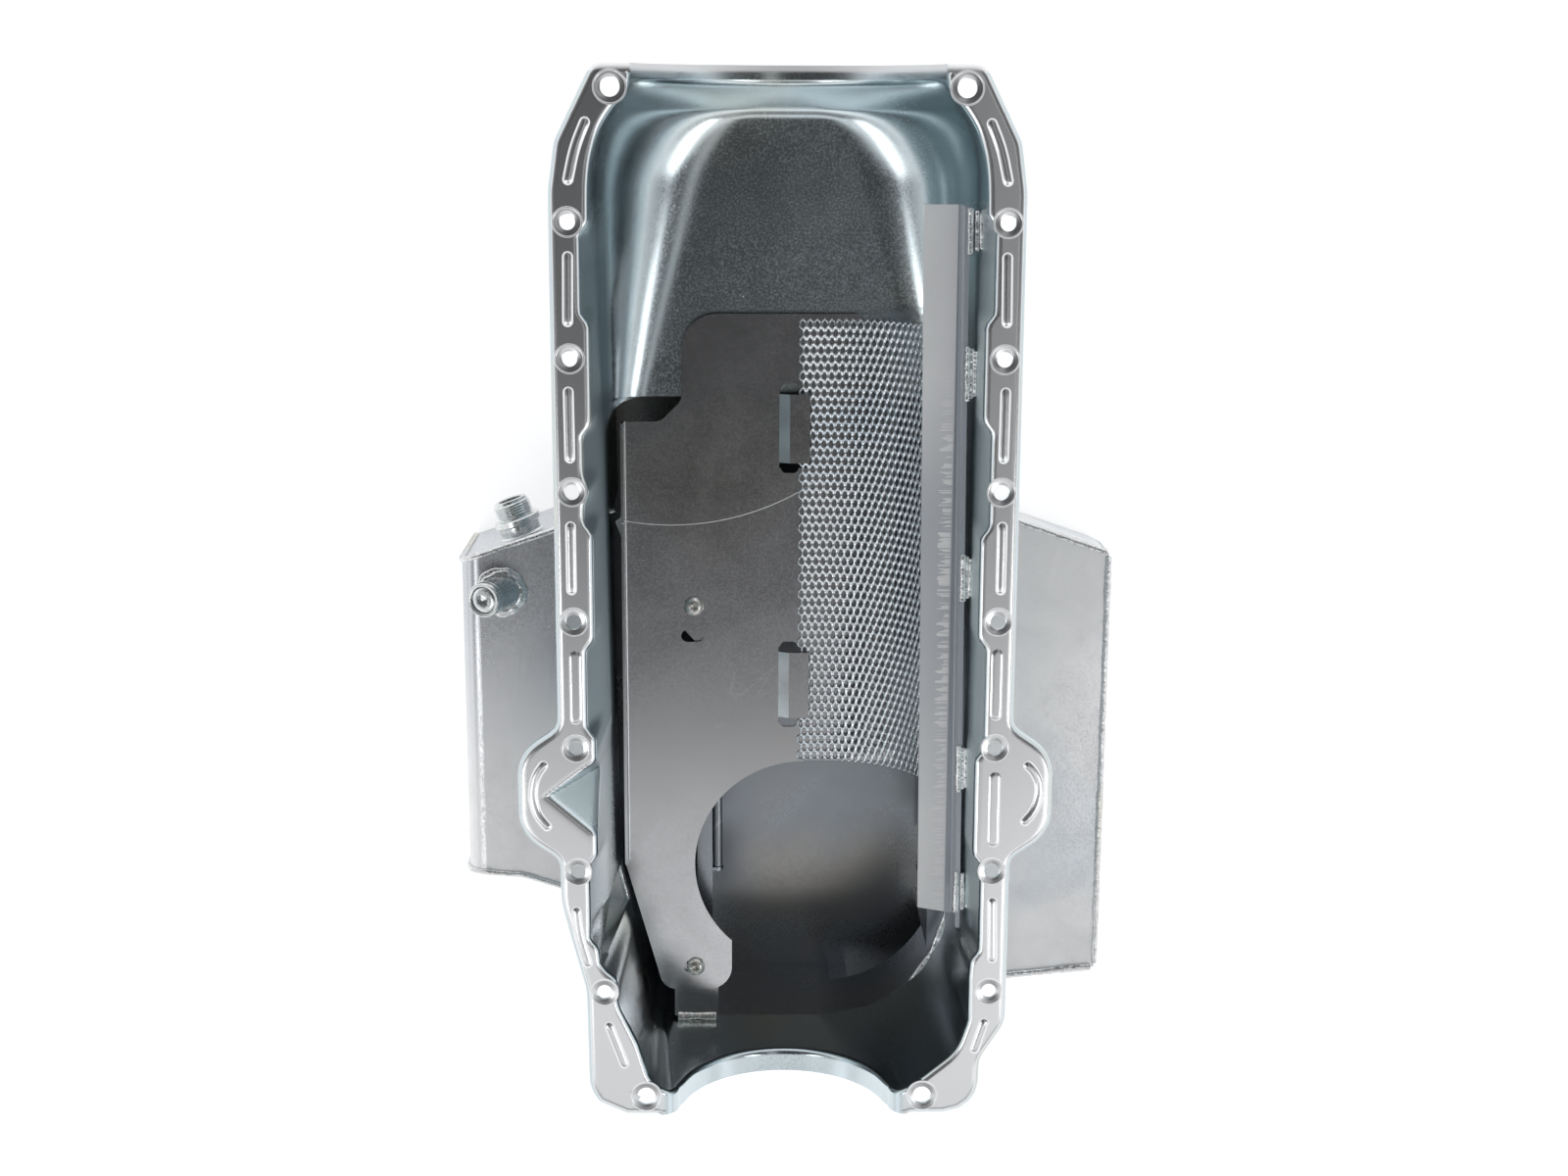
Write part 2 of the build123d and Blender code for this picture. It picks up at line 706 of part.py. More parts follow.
# Windage tray with its turned-up edge, pickup opening, slots and lanced tabs
tray_outline = [
    (tray_left_x, tray_notch_y),
    (tray_notch_x - 12, tray_notch_y),
    (tray_notch_x, tray_notch_y + 12),
    (tray_notch_x, tray_front_y),
    (tray_right_x - 22, tray_front_y),
    (tray_right_x, tray_front_y - 22),
    (tray_right_x, screen_rear_y),
    (pickup_x, screen_rear_y),
    (pickup_x, pickup_y),
    (tray_screw_x + lobe_radius, pickup_y - 45),
    (tray_screw_x + lobe_radius, tray_rear_y),
    (tray_left_x + 21, tray_rear_y),
    (tray_left_x - 1, pickup_y),
]
tray_corners = [1, 8, 8, 20, 1, 1, 1, 1, 1, 1, 14, 10, 14]

with BuildPart() as windage_tray:
    with BuildSketch(Plane.XY.offset(tray_under)):
        with BuildLine():
            FilletPolyline(*tray_outline, radius=tray_corners, close=True)
        make_face()
        with Locations((pickup_x, pickup_y)):
            Circle(pickup_radius, mode=Mode.SUBTRACT)
        for slot_y in (mid_screw_y, spare_slot_y, rear_screw_y):
            with Locations((tray_screw_x - slot_length / 2 + screw_head / 2, slot_y)):
                SlotOverall(slot_length, slot_width, mode=Mode.SUBTRACT)
        for middle in (tab_front_y, tab_rear_y):
            with Locations((tab_fold_x + 9, middle)):
                Rectangle(18, tab_length, mode=Mode.SUBTRACT)
            with Locations((tab_fold_x + 6, middle)):
                with GridLocations(1, tab_length, 1, 2):
                    SlotOverall(10, 6, mode=Mode.SUBTRACT)
    extrude(amount=tray_sheet)
    # Turned-up left edge
    with BuildSketch(Plane.XZ.offset(-tray_notch_y)):
        with BuildLine():
            FilletPolyline(
                (tray_left_x + 4, tray_under),
                (tray_left_x - 1, tray_under),
                (tray_left_x - 1, -tray_top + tray_lip_height),
                radius=2.6,
            )
            lip_top = -tray_top + tray_lip_height
            Line((tray_left_x - 1, lip_top), (tray_left_x - 1 + tray_sheet, lip_top))
            FilletPolyline(
                (tray_left_x - 1 + tray_sheet, -tray_top + tray_lip_height),
                (tray_left_x - 1 + tray_sheet, -tray_top),
                (tray_left_x + 4, -tray_top),
                radius=1,
            )
            Line((tray_left_x + 4, -tray_top), (tray_left_x + 4, tray_under))
        make_face()
    extrude(amount=tray_notch_y - pickup_y - 3)
    # Lanced tabs that bridge over the edge of the screen
    for middle in (tab_front_y, tab_rear_y):
        with BuildSketch(Plane.XZ.offset(-middle - tab_length / 2 + 3)):
            with BuildLine():
                Polyline(
                    (tab_fold_x - 1, tray_under),
                    (tab_fold_x + 0.6, tray_under),
                    (tab_fold_x + 6.6, tab_under),
                    (tab_fold_x + 17.5, tab_under),
                    (tab_fold_x + 17.5, tab_under + tray_sheet),
                    (tab_fold_x + 6, tab_under + tray_sheet),
                    (tab_fold_x, -tray_top),
                    (tab_fold_x - 1, -tray_top),
                    close=True,
                )
            make_face()
        extrude(amount=tab_length - 6)
windage_tray.part.label = "windage_tray"

# Expanded-metal screen: flat on the tray, then curved up to the scraper
screen_low = -tray_top
screen_turn = math.radians(screen_sweep)
screen_rise = tray_top - scraper_level - scraper_sheet - screen_sheet * math.cos(screen_turn)
screen_radius = screen_rise / (1 - math.cos(screen_turn))
screen_bend_x = screen_right_x - screen_radius * math.sin(screen_turn)
screen_length = screen_front_y - screen_rear_y
screen_middle_y = (screen_front_y + screen_rear_y) / 2
gap_x = (screen_right_x - screen_left_x) / screen_columns
gap_y = screen_length / screen_rows

with BuildPart() as tray_screen:
    with BuildSketch(Plane.XZ.offset(-screen_front_y)):
        with BuildLine():
            Line((screen_left_x, screen_low), (screen_bend_x, screen_low))
            low = JernArc((screen_bend_x, screen_low), (1, 0), screen_radius, screen_sweep)
            high_start = (screen_bend_x, screen_low + screen_sheet)
            high = JernArc(high_start, (1, 0), screen_radius - screen_sheet, screen_sweep)
            Line(low @ 1, high @ 1)
            Line(high_start, (screen_left_x, screen_low + screen_sheet))
            Line((screen_left_x, screen_low + screen_sheet), (screen_left_x, screen_low))
        make_face()
    extrude(amount=screen_length)
    with BuildSketch(Plane.XY.offset(-tray_top - 5)):
        with Locations(((screen_left_x + screen_right_x) / 2, screen_middle_y)):
            half_x = gap_x / 2 - screen_web / 2
            half_y = gap_y / 2 - screen_web
            with GridLocations(gap_x, gap_y, screen_columns - 1, screen_rows):
                Polygon((half_x, 0), (0, half_y), (-half_x, 0), (0, -half_y))
            with GridLocations(gap_x, gap_y, screen_columns, screen_rows - 1):
                Polygon((half_x, 0), (0, half_y), (-half_x, 0), (0, -half_y))
    extrude(amount=60, mode=Mode.SUBTRACT)
tray_screen.part.label = "tray_screen"

# Scraper bar along the right wall, held by five stitch welds
turn = math.radians(scraper_turn)
leg_top = -scraper_level - scraper_sheet + scraper_leg
bar_plane = Plane(
    origin=(scraper_outer_x, scraper_front_y, 0),
    x_dir=(math.cos(turn), math.sin(turn), 0),
    z_dir=(math.sin(turn), -math.cos(turn), 0),
)
with BuildPart() as scraper_bar:
    with BuildSketch(bar_plane):
        with BuildLine():
            FilletPolyline(
                (-scraper_flange, -scraper_level - scraper_sheet),
                (0, -scraper_level - scraper_sheet),
                (0, leg_top),
                radius=scraper_sheet + 0.6,
            )
            Line((0, leg_top), (-scraper_sheet, leg_top))
            FilletPolyline(
                (-scraper_sheet, leg_top),
                (-scraper_sheet, -scraper_level),
                (-scraper_flange, -scraper_level),
                radius=0.6,
            )
            Line((-scraper_flange, -scraper_level), (-scraper_flange, -scraper_level - scraper_sheet))
        make_face()
    extrude(amount=scraper_front_y - scraper_rear_y + 8)
    split(bisect_by=Plane(origin=(76, scraper_rear_y, 0), z_dir=(0.165, 0.986, 0)), keep=Keep.TOP)
scraper_bar.part.label = "scraper_bar"

with BuildPart() as scraper_welds:
    for front, rear in stitch_spans:
        with BuildSketch(bar_plane.offset(scraper_front_y - front)):
            with Locations((3.6, leg_top - 0.6)):
                RectangleRounded(12.4, 5, 2.4)
        extrude(amount=front - rear)
    add(pan_inside.part, mode=Mode.INTERSECT)
    add(scraper_bar.part, mode=Mode.SUBTRACT)
scraper_welds.part.label = "scraper_welds"

# Brackets that carry the tray
bracket_under = tray_under - bracket_sheet
with BuildPart() as rear_tray_bracket:
    with BuildSketch(Plane.XY.offset(bracket_under)):
        with BuildLine():
            FilletPolyline(
                (tray_screw_x - 12.6, rear_wall_y + 4),
                (tray_screw_x - 12.6, rear_screw_y + 11),
                (tray_screw_x + 13.3, rear_screw_y + 11),
                (tray_screw_x + 13.3, rear_wall_y + 4),
                radius=[0.5, 6, 6, 0.5],
                close=True,
            )
        make_face()
        with Locations((tray_screw_x, rear_screw_y)):
            Circle(screw_thread / 2 + fit_gap, mode=Mode.SUBTRACT)
    extrude(amount=bracket_sheet)
rear_tray_bracket.part.label = "rear_tray_bracket"

with BuildPart() as rear_bracket_weld:
    with BuildSketch(Plane.YZ.offset(tray_screw_x - 12)):
        with Locations((rear_wall_y + 2.4, bracket_under + bracket_sheet * 0.7)):
            RectangleRounded(7.6, 4.4, 2.1)
    extrude(amount=24)
    add(pan_inside.part, mode=Mode.INTERSECT)
    add(rear_tray_bracket.part, mode=Mode.SUBTRACT)
rear_bracket_weld.part.label = "rear_bracket_weld"

with BuildPart() as mid_tray_bracket:
    with BuildSketch(Plane.XY.offset(bracket_under)):
        with BuildLine():
            Polyline(
                (tray_left_x - 5, bracket_front_y - 12.5),
                (tray_left_x + 9, bracket_front_y),
                (left_baffle_x, bracket_front_y),
                (left_baffle_x, spare_slot_y - 9),
                (tray_screw_x + 5.2, spare_slot_y - 9),
                (tray_screw_x - 8.8, spare_slot_y + 7),
                (tray_left_x + 5, mid_screw_y + 23.5),
                close=True,
            )
        make_face()
        with Locations((tray_screw_x, mid_screw_y)):
            Circle(screw_thread / 2 + fit_gap, mode=Mode.SUBTRACT)
    extrude(amount=bracket_sheet)
    with BuildSketch(Plane.XY.offset(-baffle_top)):
        with Locations((left_baffle_x - bracket_sheet / 2, bracket_front_y - 33)):
            Rectangle(bracket_sheet, 50)
    extrude(amount=bracket_under + baffle_top)
mid_tray_bracket.part.label = "mid_tray_bracket"

# Button-head screws and their nuts
screw_points = [(tray_screw_x, mid_screw_y), (tray_screw_x, rear_screw_y)]
with BuildPart() as tray_screws:
    with BuildSketch(Plane.XY.offset(-tray_top)):
        with Locations(*screw_points):
            Circle(screw_head / 2)
    extrude(amount=screw_head_height)
    chamfer(tray_screws.edges().group_by(Axis.Z)[-1], screw_head_height * 0.5)
    with BuildSketch(Plane.XY.offset(-tray_top + screw_head_height)):
        with Locations(*screw_points):
            RegularPolygon(socket_size / 2, 6, major_radius=False)
    extrude(amount=-2, mode=Mode.SUBTRACT)
    with BuildSketch(Plane.XY.offset(-tray_top)):
        with Locations(*screw_points):
            Circle(screw_thread / 2)
    extrude(amount=-(tray_sheet + bracket_sheet + nut_height + 1))
tray_screws.part.label = "tray_screws"

with BuildPart() as tray_nuts:
    with BuildSketch(Plane.XY.offset(bracket_under)):
        with Locations(*screw_points):
            RegularPolygon(nut_width / 2, 6, major_radius=False)
            Circle(screw_thread / 2, mode=Mode.SUBTRACT)
    extrude(amount=-nut_height)
tray_nuts.part.label = "tray_nuts"

# Leaning sensor bung with its plug and weld ring
with BuildPart() as sensor_bung:
    with BuildSketch(bung_plane.offset(-8)):
        Circle(bung_diameter / 2)
        Circle(plug_diameter / 2 - 1, mode=Mode.SUBTRACT)
    extrude(amount=bung_length + 8)
    chamfer(sensor_bung.faces().sort_by(Axis.Z)[-1].outer_wire().edges(), 0.8)
    with BuildSketch(bung_plane.offset(bung_length - 10)):
        Circle(plug_diameter / 2)
    extrude(amount=20, mode=Mode.SUBTRACT)
    with Locations((bung_x, bung_y, -left_kick_top - 25)):
        Box(60, 60, 50, mode=Mode.SUBTRACT)
sensor_bung.part.label = "sensor_bung"

with BuildPart() as sensor_plug:
    with BuildSketch(bung_plane.offset(bung_length - 10)):
        Circle(plug_diameter / 2)
    extrude(amount=9.6)
    with BuildSketch(bung_plane.offset(bung_length - 0.4)):
        RegularPolygon(plug_diameter * 0.26, 6, major_radius=False)
    extrude(amount=-5, mode=Mode.SUBTRACT)
sensor_plug.part.label = "sensor_plug"

with BuildPart() as bung_weld:
    with BuildSketch(Plane.XY.offset(-left_kick_top)):
        with Locations((bung_x, bung_y)):
            Circle(bung_diameter / 2 + 3)
    extrude(amount=2.2)
    chamfer(bung_weld.edges().group_by(Axis.Z)[-1], 1.6)
    with BuildSketch(bung_plane.offset(-12)):
        Circle(bung_diameter / 2)
    extrude(amount=40, mode=Mode.SUBTRACT)
bung_weld.part.label = "bung_weld"

# Threaded port in the left kick-out's front
with BuildPart() as side_port_bung:
    with BuildSketch(port_plane):
        Circle(port_flange / 2 - 1.8)
        Circle(port_bore / 2, mode=Mode.SUBTRACT)
    extrude(amount=port_neck)
side_port_bung.part.label = "side_port_bung"

with BuildPart() as side_port_fitting:
    with BuildSketch(port_plane.offset(port_neck)):
        Circle(port_flange / 2)
        Circle(port_bore / 2, mode=Mode.SUBTRACT)
    extrude(amount=port_flange_thickness)
    with BuildSketch(port_plane.offset(port_neck + port_flange_thickness)):
        Circle(port_thread / 2)
        Circle(port_bore / 2, mode=Mode.SUBTRACT)
    extrude(amount=port_barrel)
    fitting_end = side_port_fitting.faces().sort_by(Axis(port_plane.origin, port_plane.z_dir))[-1]
    chamfer(fitting_end.outer_wire().edges(), 0.8)
side_port_fitting.part.label = "side_port_fitting"

# Drain boss, plug and washer in the rear wall
with BuildPart() as drain_bung:
    with BuildSketch(drain_plane):
        Circle(drain_diameter / 2)
        Circle(drain_thread / 2, mode=Mode.SUBTRACT)
    extrude(amount=drain_boss)
drain_bung.part.label = "drain_bung"

with BuildPart() as drain_washer:
    with BuildSketch(drain_plane.offset(drain_boss)):
        Circle(drain_thread * 0.75)
        Circle(drain_thread / 2 + fit_gap, mode=Mode.SUBTRACT)
    extrude(amount=washer_sheet)
drain_washer.part.label = "drain_washer"

with BuildPart() as drain_plug:
    with BuildSketch(drain_plane.offset(drain_boss + washer_sheet)):
        RegularPolygon(drain_thread * 0.68, 6, major_radius=False)
    extrude(amount=4.5)
    with BuildSketch(drain_plane):
        Circle(drain_thread / 2)
    extrude(amount=drain_boss + washer_sheet)
drain_plug.part.label = "drain_plug"

pieces = [
    pan_body, sump_floor, sump_front_wall, sump_wall, sump_seam_weld,
    left_kickout_cover, left_kickout_front, left_kickout_rear, left_kickout_welds,
    right_kickout_top, right_kickout_front, right_kickout_rear, right_kickout_welds,
    left_baffle, right_baffle, left_trap_door, right_trap_door, left_door_pin, right_door_pin,
    windage_tray, tray_screen, scraper_bar, scraper_welds,
    rear_tray_bracket, rear_bracket_weld, mid_tray_bracket, tray_screws, tray_nuts,
    sensor_bung, sensor_plug, bung_weld, side_port_bung, side_port_fitting,
    drain_bung, drain_washer, drain_plug,
]
for piece in pieces:
    export_step(piece.part, "parts/" + piece.part.label + ".step")
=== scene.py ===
# %% [markdown]
# # Engine oil pan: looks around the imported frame
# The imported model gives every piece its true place. This script dresses it: it rebuilds the pressings,
# the expanded-metal screen, the weld beads and the small fittings as fine meshes, and gives every
# surface a zinc-plated finish made from nodes. First the frame is loaded and its box is kept.

# %% Load the frame
import json
import math

import bmesh
import bpy
import numpy as np
from mathutils import Euler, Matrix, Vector


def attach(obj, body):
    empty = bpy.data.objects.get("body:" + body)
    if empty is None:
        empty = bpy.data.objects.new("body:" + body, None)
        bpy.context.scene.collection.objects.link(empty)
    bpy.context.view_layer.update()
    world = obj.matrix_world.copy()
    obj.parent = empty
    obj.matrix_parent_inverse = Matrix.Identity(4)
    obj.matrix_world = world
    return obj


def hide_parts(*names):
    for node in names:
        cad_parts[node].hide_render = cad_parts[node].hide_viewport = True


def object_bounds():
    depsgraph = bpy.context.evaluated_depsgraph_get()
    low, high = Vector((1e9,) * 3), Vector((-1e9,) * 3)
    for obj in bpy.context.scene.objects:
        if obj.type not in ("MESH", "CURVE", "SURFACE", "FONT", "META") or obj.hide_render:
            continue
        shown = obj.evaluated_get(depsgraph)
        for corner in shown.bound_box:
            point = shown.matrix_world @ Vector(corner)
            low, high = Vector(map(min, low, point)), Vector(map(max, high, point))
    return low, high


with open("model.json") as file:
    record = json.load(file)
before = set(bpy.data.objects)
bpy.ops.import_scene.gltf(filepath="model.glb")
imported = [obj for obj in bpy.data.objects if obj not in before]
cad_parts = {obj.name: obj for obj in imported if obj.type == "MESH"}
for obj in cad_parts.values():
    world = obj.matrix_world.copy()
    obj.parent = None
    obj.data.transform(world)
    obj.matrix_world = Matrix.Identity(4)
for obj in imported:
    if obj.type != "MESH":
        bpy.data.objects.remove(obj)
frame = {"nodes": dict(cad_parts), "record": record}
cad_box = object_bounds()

nodes = frame["nodes"]
millimetre = 0.001
print("nodes:", len(nodes), "box:", [[round(v, 4) for v in corner] for corner in cad_box])

# %% [markdown]
# ## Camera
# The photograph was taken from above, over the front end of the pan. A pinhole camera was fitted to the
# bolt holes, whose spacing is known, so its place and lens are plain numbers and nothing is shifted.

# %% Camera
camera_data = bpy.data.cameras.new("photo_camera")
camera_data.sensor_width = 36.0
camera_data.lens = 50.445
camera_data.clip_end = 20.0
camera = bpy.data.objects.new("photo_camera", camera_data)
camera.location = (-0.0222, 0.2352, 1.1348)
camera.rotation_euler = Euler((math.radians(-12.5), math.radians(-1.0), math.radians(0.24)))
bpy.context.scene.collection.objects.link(camera)
bpy.context.scene.camera = camera
print("camera at", [round(v, 3) for v in camera.location])

# %% [markdown]
# ## Node helpers
# The world, the floor and every finish are made of nodes. A node could be made, set and linked line by
# line, but these helpers do it in one call each and return the result's socket, so that a chain of nodes
# reads like a formula.


# %% Node helpers
def add(tree, kind, links=(), **settings):
    """A node with settings, and links given as (input, source socket) or (input, value)."""
    node = tree.nodes.new(kind)
    for key, value in settings.items():
        setattr(node, key, value)
    for socket, source in links:
        if isinstance(source, bpy.types.NodeSocket):
            tree.links.new(source, node.inputs[socket])
        else:
            node.inputs[socket].default_value = source
    return node


def maths(tree, operation, first, second=0.0, clamp=False):
    return add(tree, "ShaderNodeMath", [(0, first), (1, second)], operation=operation, use_clamp=clamp).outputs[0]


def scaled(tree, place, factors):
    """A place stretched by its own factor along each axis."""
    return add(tree, "ShaderNodeVectorMath", [(0, place), (1, factors)], operation="MULTIPLY").outputs[0]


def noise(tree, place, scale=1.0, detail=0.0, **more):
    links = [("Vector", place), ("Scale", scale), ("Detail", detail), *more.items()]
    return add(tree, "ShaderNodeTexNoise", links).outputs["Fac"]


def ranged(tree, value, start, full, low=0.0, high=1.0):
    """low where the value is at start, high where it is at full."""
    links = [("Value", value), ("From Min", start), ("From Max", full), ("To Min", low), ("To Max", high)]
    return add(tree, "ShaderNodeMapRange", links).outputs["Result"]


def blend(tree, factor, first, second, kind="RGBA", **settings):
    links = [("Factor", factor), ("A", first), ("B", second)]
    return add(tree, "ShaderNodeMix", links, data_type=kind, **settings).outputs["Result"]


# %% [markdown]
# ## Studio
# Plated steel shows its surroundings more than its own colour. The photograph was made in a pale studio
# that is dark straight overhead, so the world is a gradient by direction: grey at the horizon, a white band
# 15 to 30 degrees above it and nearly black at the top. Two brighter patches stand behind the rear of the
# pan and beside its right. Two small soft boxes behind the left and right make the two pale lobes at the
# front of the trough. The camera itself sees plain white.

# %% World
bpy.context.scene.view_settings.view_transform = "Standard"
world = bpy.data.worlds.new("studio")
bpy.context.scene.world = world
world.use_nodes = True
tree = world.node_tree
tree.nodes.clear()
sky_direction = add(tree, "ShaderNodeTexCoord").outputs["Generated"]
sky_strength = 1.5


def brightness_by(direction, levels):
    """A ramp of grey by how far a direction of the sky leans towards the given one."""
    lean = add(tree, "ShaderNodeVectorMath", [(0, sky_direction), (1, direction)], operation="DOT_PRODUCT")
    ramp = add(tree, "ShaderNodeValToRGB", [("Fac", lean.outputs["Value"])])
    ramp.color_ramp.interpolation = "EASE"
    stops = ramp.color_ramp.elements
    stops[0].position, stops[1].position = levels[0][0], levels[-1][0]
    for position, level in levels[1:-1]:
        stops.new(position)
    for stop, (position, level) in zip(stops, levels):
        shade = level / sky_strength
        stop.color = (shade, shade * 1.005, shade * 1.01, 1.0)
    return ramp.outputs["Color"]


lit = brightness_by((0.0, 0.05, 0.9987), [(0.0, 0.75), (0.12, 0.85), (0.28, 1.25), (0.42, 1.15), (0.54, 0.6),
                                          (0.72, 0.16), (0.86, 0.07), (1.0, 0.05)])
rearward = brightness_by((0.0, -1.0, 0.0), [(0.21, 0.0), (0.25, 0.05), (0.285, 0.36), (0.335, 1.0), (0.44, 1.0),
                                            (0.52, 0.35), (0.70, 0.12)])
rightward = brightness_by((1.0, 0.0, 0.0), [(0.105, 0.0), (0.15, 0.5), (0.24, 0.5), (0.34, 0.0)])
for patch in (rearward, rightward):
    lit = blend(tree, 1.0, lit, patch, blend_type="LIGHTEN")
studio_light = add(tree, "ShaderNodeBackground", [("Color", lit), ("Strength", sky_strength)])
white_backdrop = add(tree, "ShaderNodeBackground", [("Color", (1.0, 1.0, 1.0, 1.0))])
seen_by_camera = add(tree, "ShaderNodeLightPath").outputs["Is Camera Ray"]
chosen = add(tree, "ShaderNodeMixShader",
             [("Fac", seen_by_camera), (1, studio_light.outputs[0]), (2, white_backdrop.outputs[0])])
add(tree, "ShaderNodeOutputWorld", [("Surface", chosen.outputs[0])])
print("world nodes:", len(tree.nodes))

# %% Soft boxes
lamp_aim, lamp_power = Vector((0.0, 0.2, -0.1)), 1.3
for name, side in (("left_soft_box", -1), ("right_soft_box", 1)):
    lamp = bpy.data.lights.new(name, "AREA")
    lamp.shape, lamp.size, lamp.size_y = "RECTANGLE", 0.5, 0.3
    lamp.energy = lamp_power
    box = bpy.data.objects.new(name, lamp)
    box.location = (side * 0.70, -0.43, 1.0)
    box.rotation_euler = (lamp_aim - box.location).to_track_quat("-Z", "Y").to_euler()
    box.visible_camera = False
    bpy.context.scene.collection.objects.link(box)
print("lamps:", len(bpy.data.lights))

# %% [markdown]
# ## Floor
# A white sweep stands under the pan. Camera, glossy and transmission rays see it a little brighter than
# the lamps make it, so that it comes out white, and a diffuse part keeps the soft shadow.

# %% Floor
floor_level, reach = cad_box[0][2], 6.0
floor_mesh = bpy.data.meshes.new("studio_floor")
corners = [(across * reach, along * reach, floor_level) for across, along in ((-1, -1), (1, -1), (1, 1), (-1, 1))]
floor_mesh.from_pydata(corners, [], [(0, 1, 2, 3)])
floor = bpy.data.objects.new("studio_floor", floor_mesh)
bpy.context.scene.collection.objects.link(floor)
paper = bpy.data.materials.new("white_paper")
paper.use_nodes = True
tree = paper.node_tree
surface = tree.nodes["Principled BSDF"].inputs
surface["Base Color"].default_value = (0.9, 0.9, 0.9, 1.0)
surface["Roughness"].default_value = 0.9
surface["Specular IOR Level"].default_value = 0.1
surface["Emission Color"].default_value = (1.0, 1.0, 1.0, 1.0)
rays = add(tree, "ShaderNodeLightPath").outputs
seen = maths(tree, "MAXIMUM", rays["Is Camera Ray"], rays["Is Glossy Ray"])
seen = maths(tree, "MAXIMUM", seen, rays["Is Transmission Ray"])
tree.links.new(maths(tree, "MULTIPLY", seen, 0.6), surface["Emission Strength"])
floor.data.materials.append(paper)
print("floor at", round(floor_level, 4))

# %% [markdown]
# ## Shared surface effects
# The whole pan is steel plated with bright zinc after welding. Four effects come back in every finish:
# cloudy patches in the plating, fine speckle, long hair scratches and the grain that rolling or brushing
# leaves. Each is a node group, so that every finish sets only its own amounts. Object coordinates are in
# metres here, because every mesh keeps its place in the frame.


# %% Node group helper
def effect(name, inputs, outputs):
    """An empty node group: the group, the place on the piece, and the sockets given to it and taken from it."""
    group = bpy.data.node_groups.new(name, "ShaderNodeTree")
    for socket_name, value in inputs.items():
        kind = "NodeSocketVector" if isinstance(value, tuple) else "NodeSocketFloat"
        group.interface.new_socket(socket_name, in_out="INPUT", socket_type=kind).default_value = value
    for socket_name in outputs:
        group.interface.new_socket(socket_name, in_out="OUTPUT", socket_type="NodeSocketFloat")
    given, taken = group.nodes.new("NodeGroupInput").outputs, group.nodes.new("NodeGroupOutput").inputs
    return group, add(group, "ShaderNodeTexCoord").outputs["Object"], given, taken


# %% Plating clouds
clouds, spot, given, taken = effect("plating_clouds", {"Size": 30.0, "Contrast": 1.0}, ("Cloud", "Hue"))
wide = noise(clouds, spot, given["Size"], 5.0, Roughness=0.62, Distortion=0.6)
harder = maths(clouds, "MULTIPLY", maths(clouds, "SUBTRACT", wide, 0.5), given["Contrast"])
clouds.links.new(maths(clouds, "ADD", harder, 0.5, clamp=True), taken["Cloud"])
clouds.links.new(noise(clouds, spot, 9.0, 2.0), taken["Hue"])
print("clouds:", len(clouds.nodes), "nodes")

# %% Speckle
speckle, spot, given, taken = effect("plating_speckle", {"Size": 900.0, "Amount": 0.5}, ("Speck",))
raised = ranged(speckle, noise(speckle, spot, given["Size"], 1.0), 0.42, 0.7)
speckle.links.new(maths(speckle, "MULTIPLY", raised, given["Amount"]), taken["Speck"])
print("speckle:", len(speckle.nodes), "nodes")

# %% Hair scratches
scratches, spot, given, taken = effect(
    "hair_scratches", {"Stretch": (4.0, 60.0, 4.0), "Width": 0.004, "Amount": 0.5}, ("Scratch",)
)
total = 0.0
for turn in (0.15, 1.25, 2.3):
    rotated = add(scratches, "ShaderNodeVectorRotate", [("Vector", spot), ("Angle", turn)],
                  rotation_type="Z_AXIS").outputs[0]
    shape = noise(scratches, scaled(scratches, rotated, given["Stretch"]))
    away = maths(scratches, "ABSOLUTE", maths(scratches, "SUBTRACT", shape, 0.5))
    line = ranged(scratches, away, 0.0, given["Width"], 1.0, 0.0)
    broken = ranged(scratches, noise(scratches, rotated, 24.0), 0.55, 0.62)
    total = maths(scratches, "MAXIMUM", total, maths(scratches, "MULTIPLY", line, broken))
scratches.links.new(maths(scratches, "MULTIPLY", total, given["Amount"]), taken["Scratch"])
print("hair scratches:", len(scratches.nodes), "nodes")

# %% Rolled or brushed grain
grain, spot, given, taken = effect("drawn_grain", {"Stretch": (900.0, 8.0, 900.0)}, ("Grain",))
grain.links.new(noise(grain, scaled(grain, spot, given["Stretch"]), detail=2.0), taken["Grain"])
print("effects:", [group.name for group in bpy.data.node_groups])

# %% [markdown]
# ## Finishes
# One function builds every finish from the shared effects. The clouds move both the colour and the
# roughness, the way uneven plating does, a second slow pattern lets straw and blue tints through, and the
# grain and specks go into a Bump node as well, so that highlights break up over them.

# %% Finish builder
finishes = {}


def with_amounts(tree, group, **amounts):
    """The outputs of a shared effect placed in a finish with its own amounts."""
    return add(tree, "ShaderNodeGroup", amounts.items(), node_tree=group).outputs


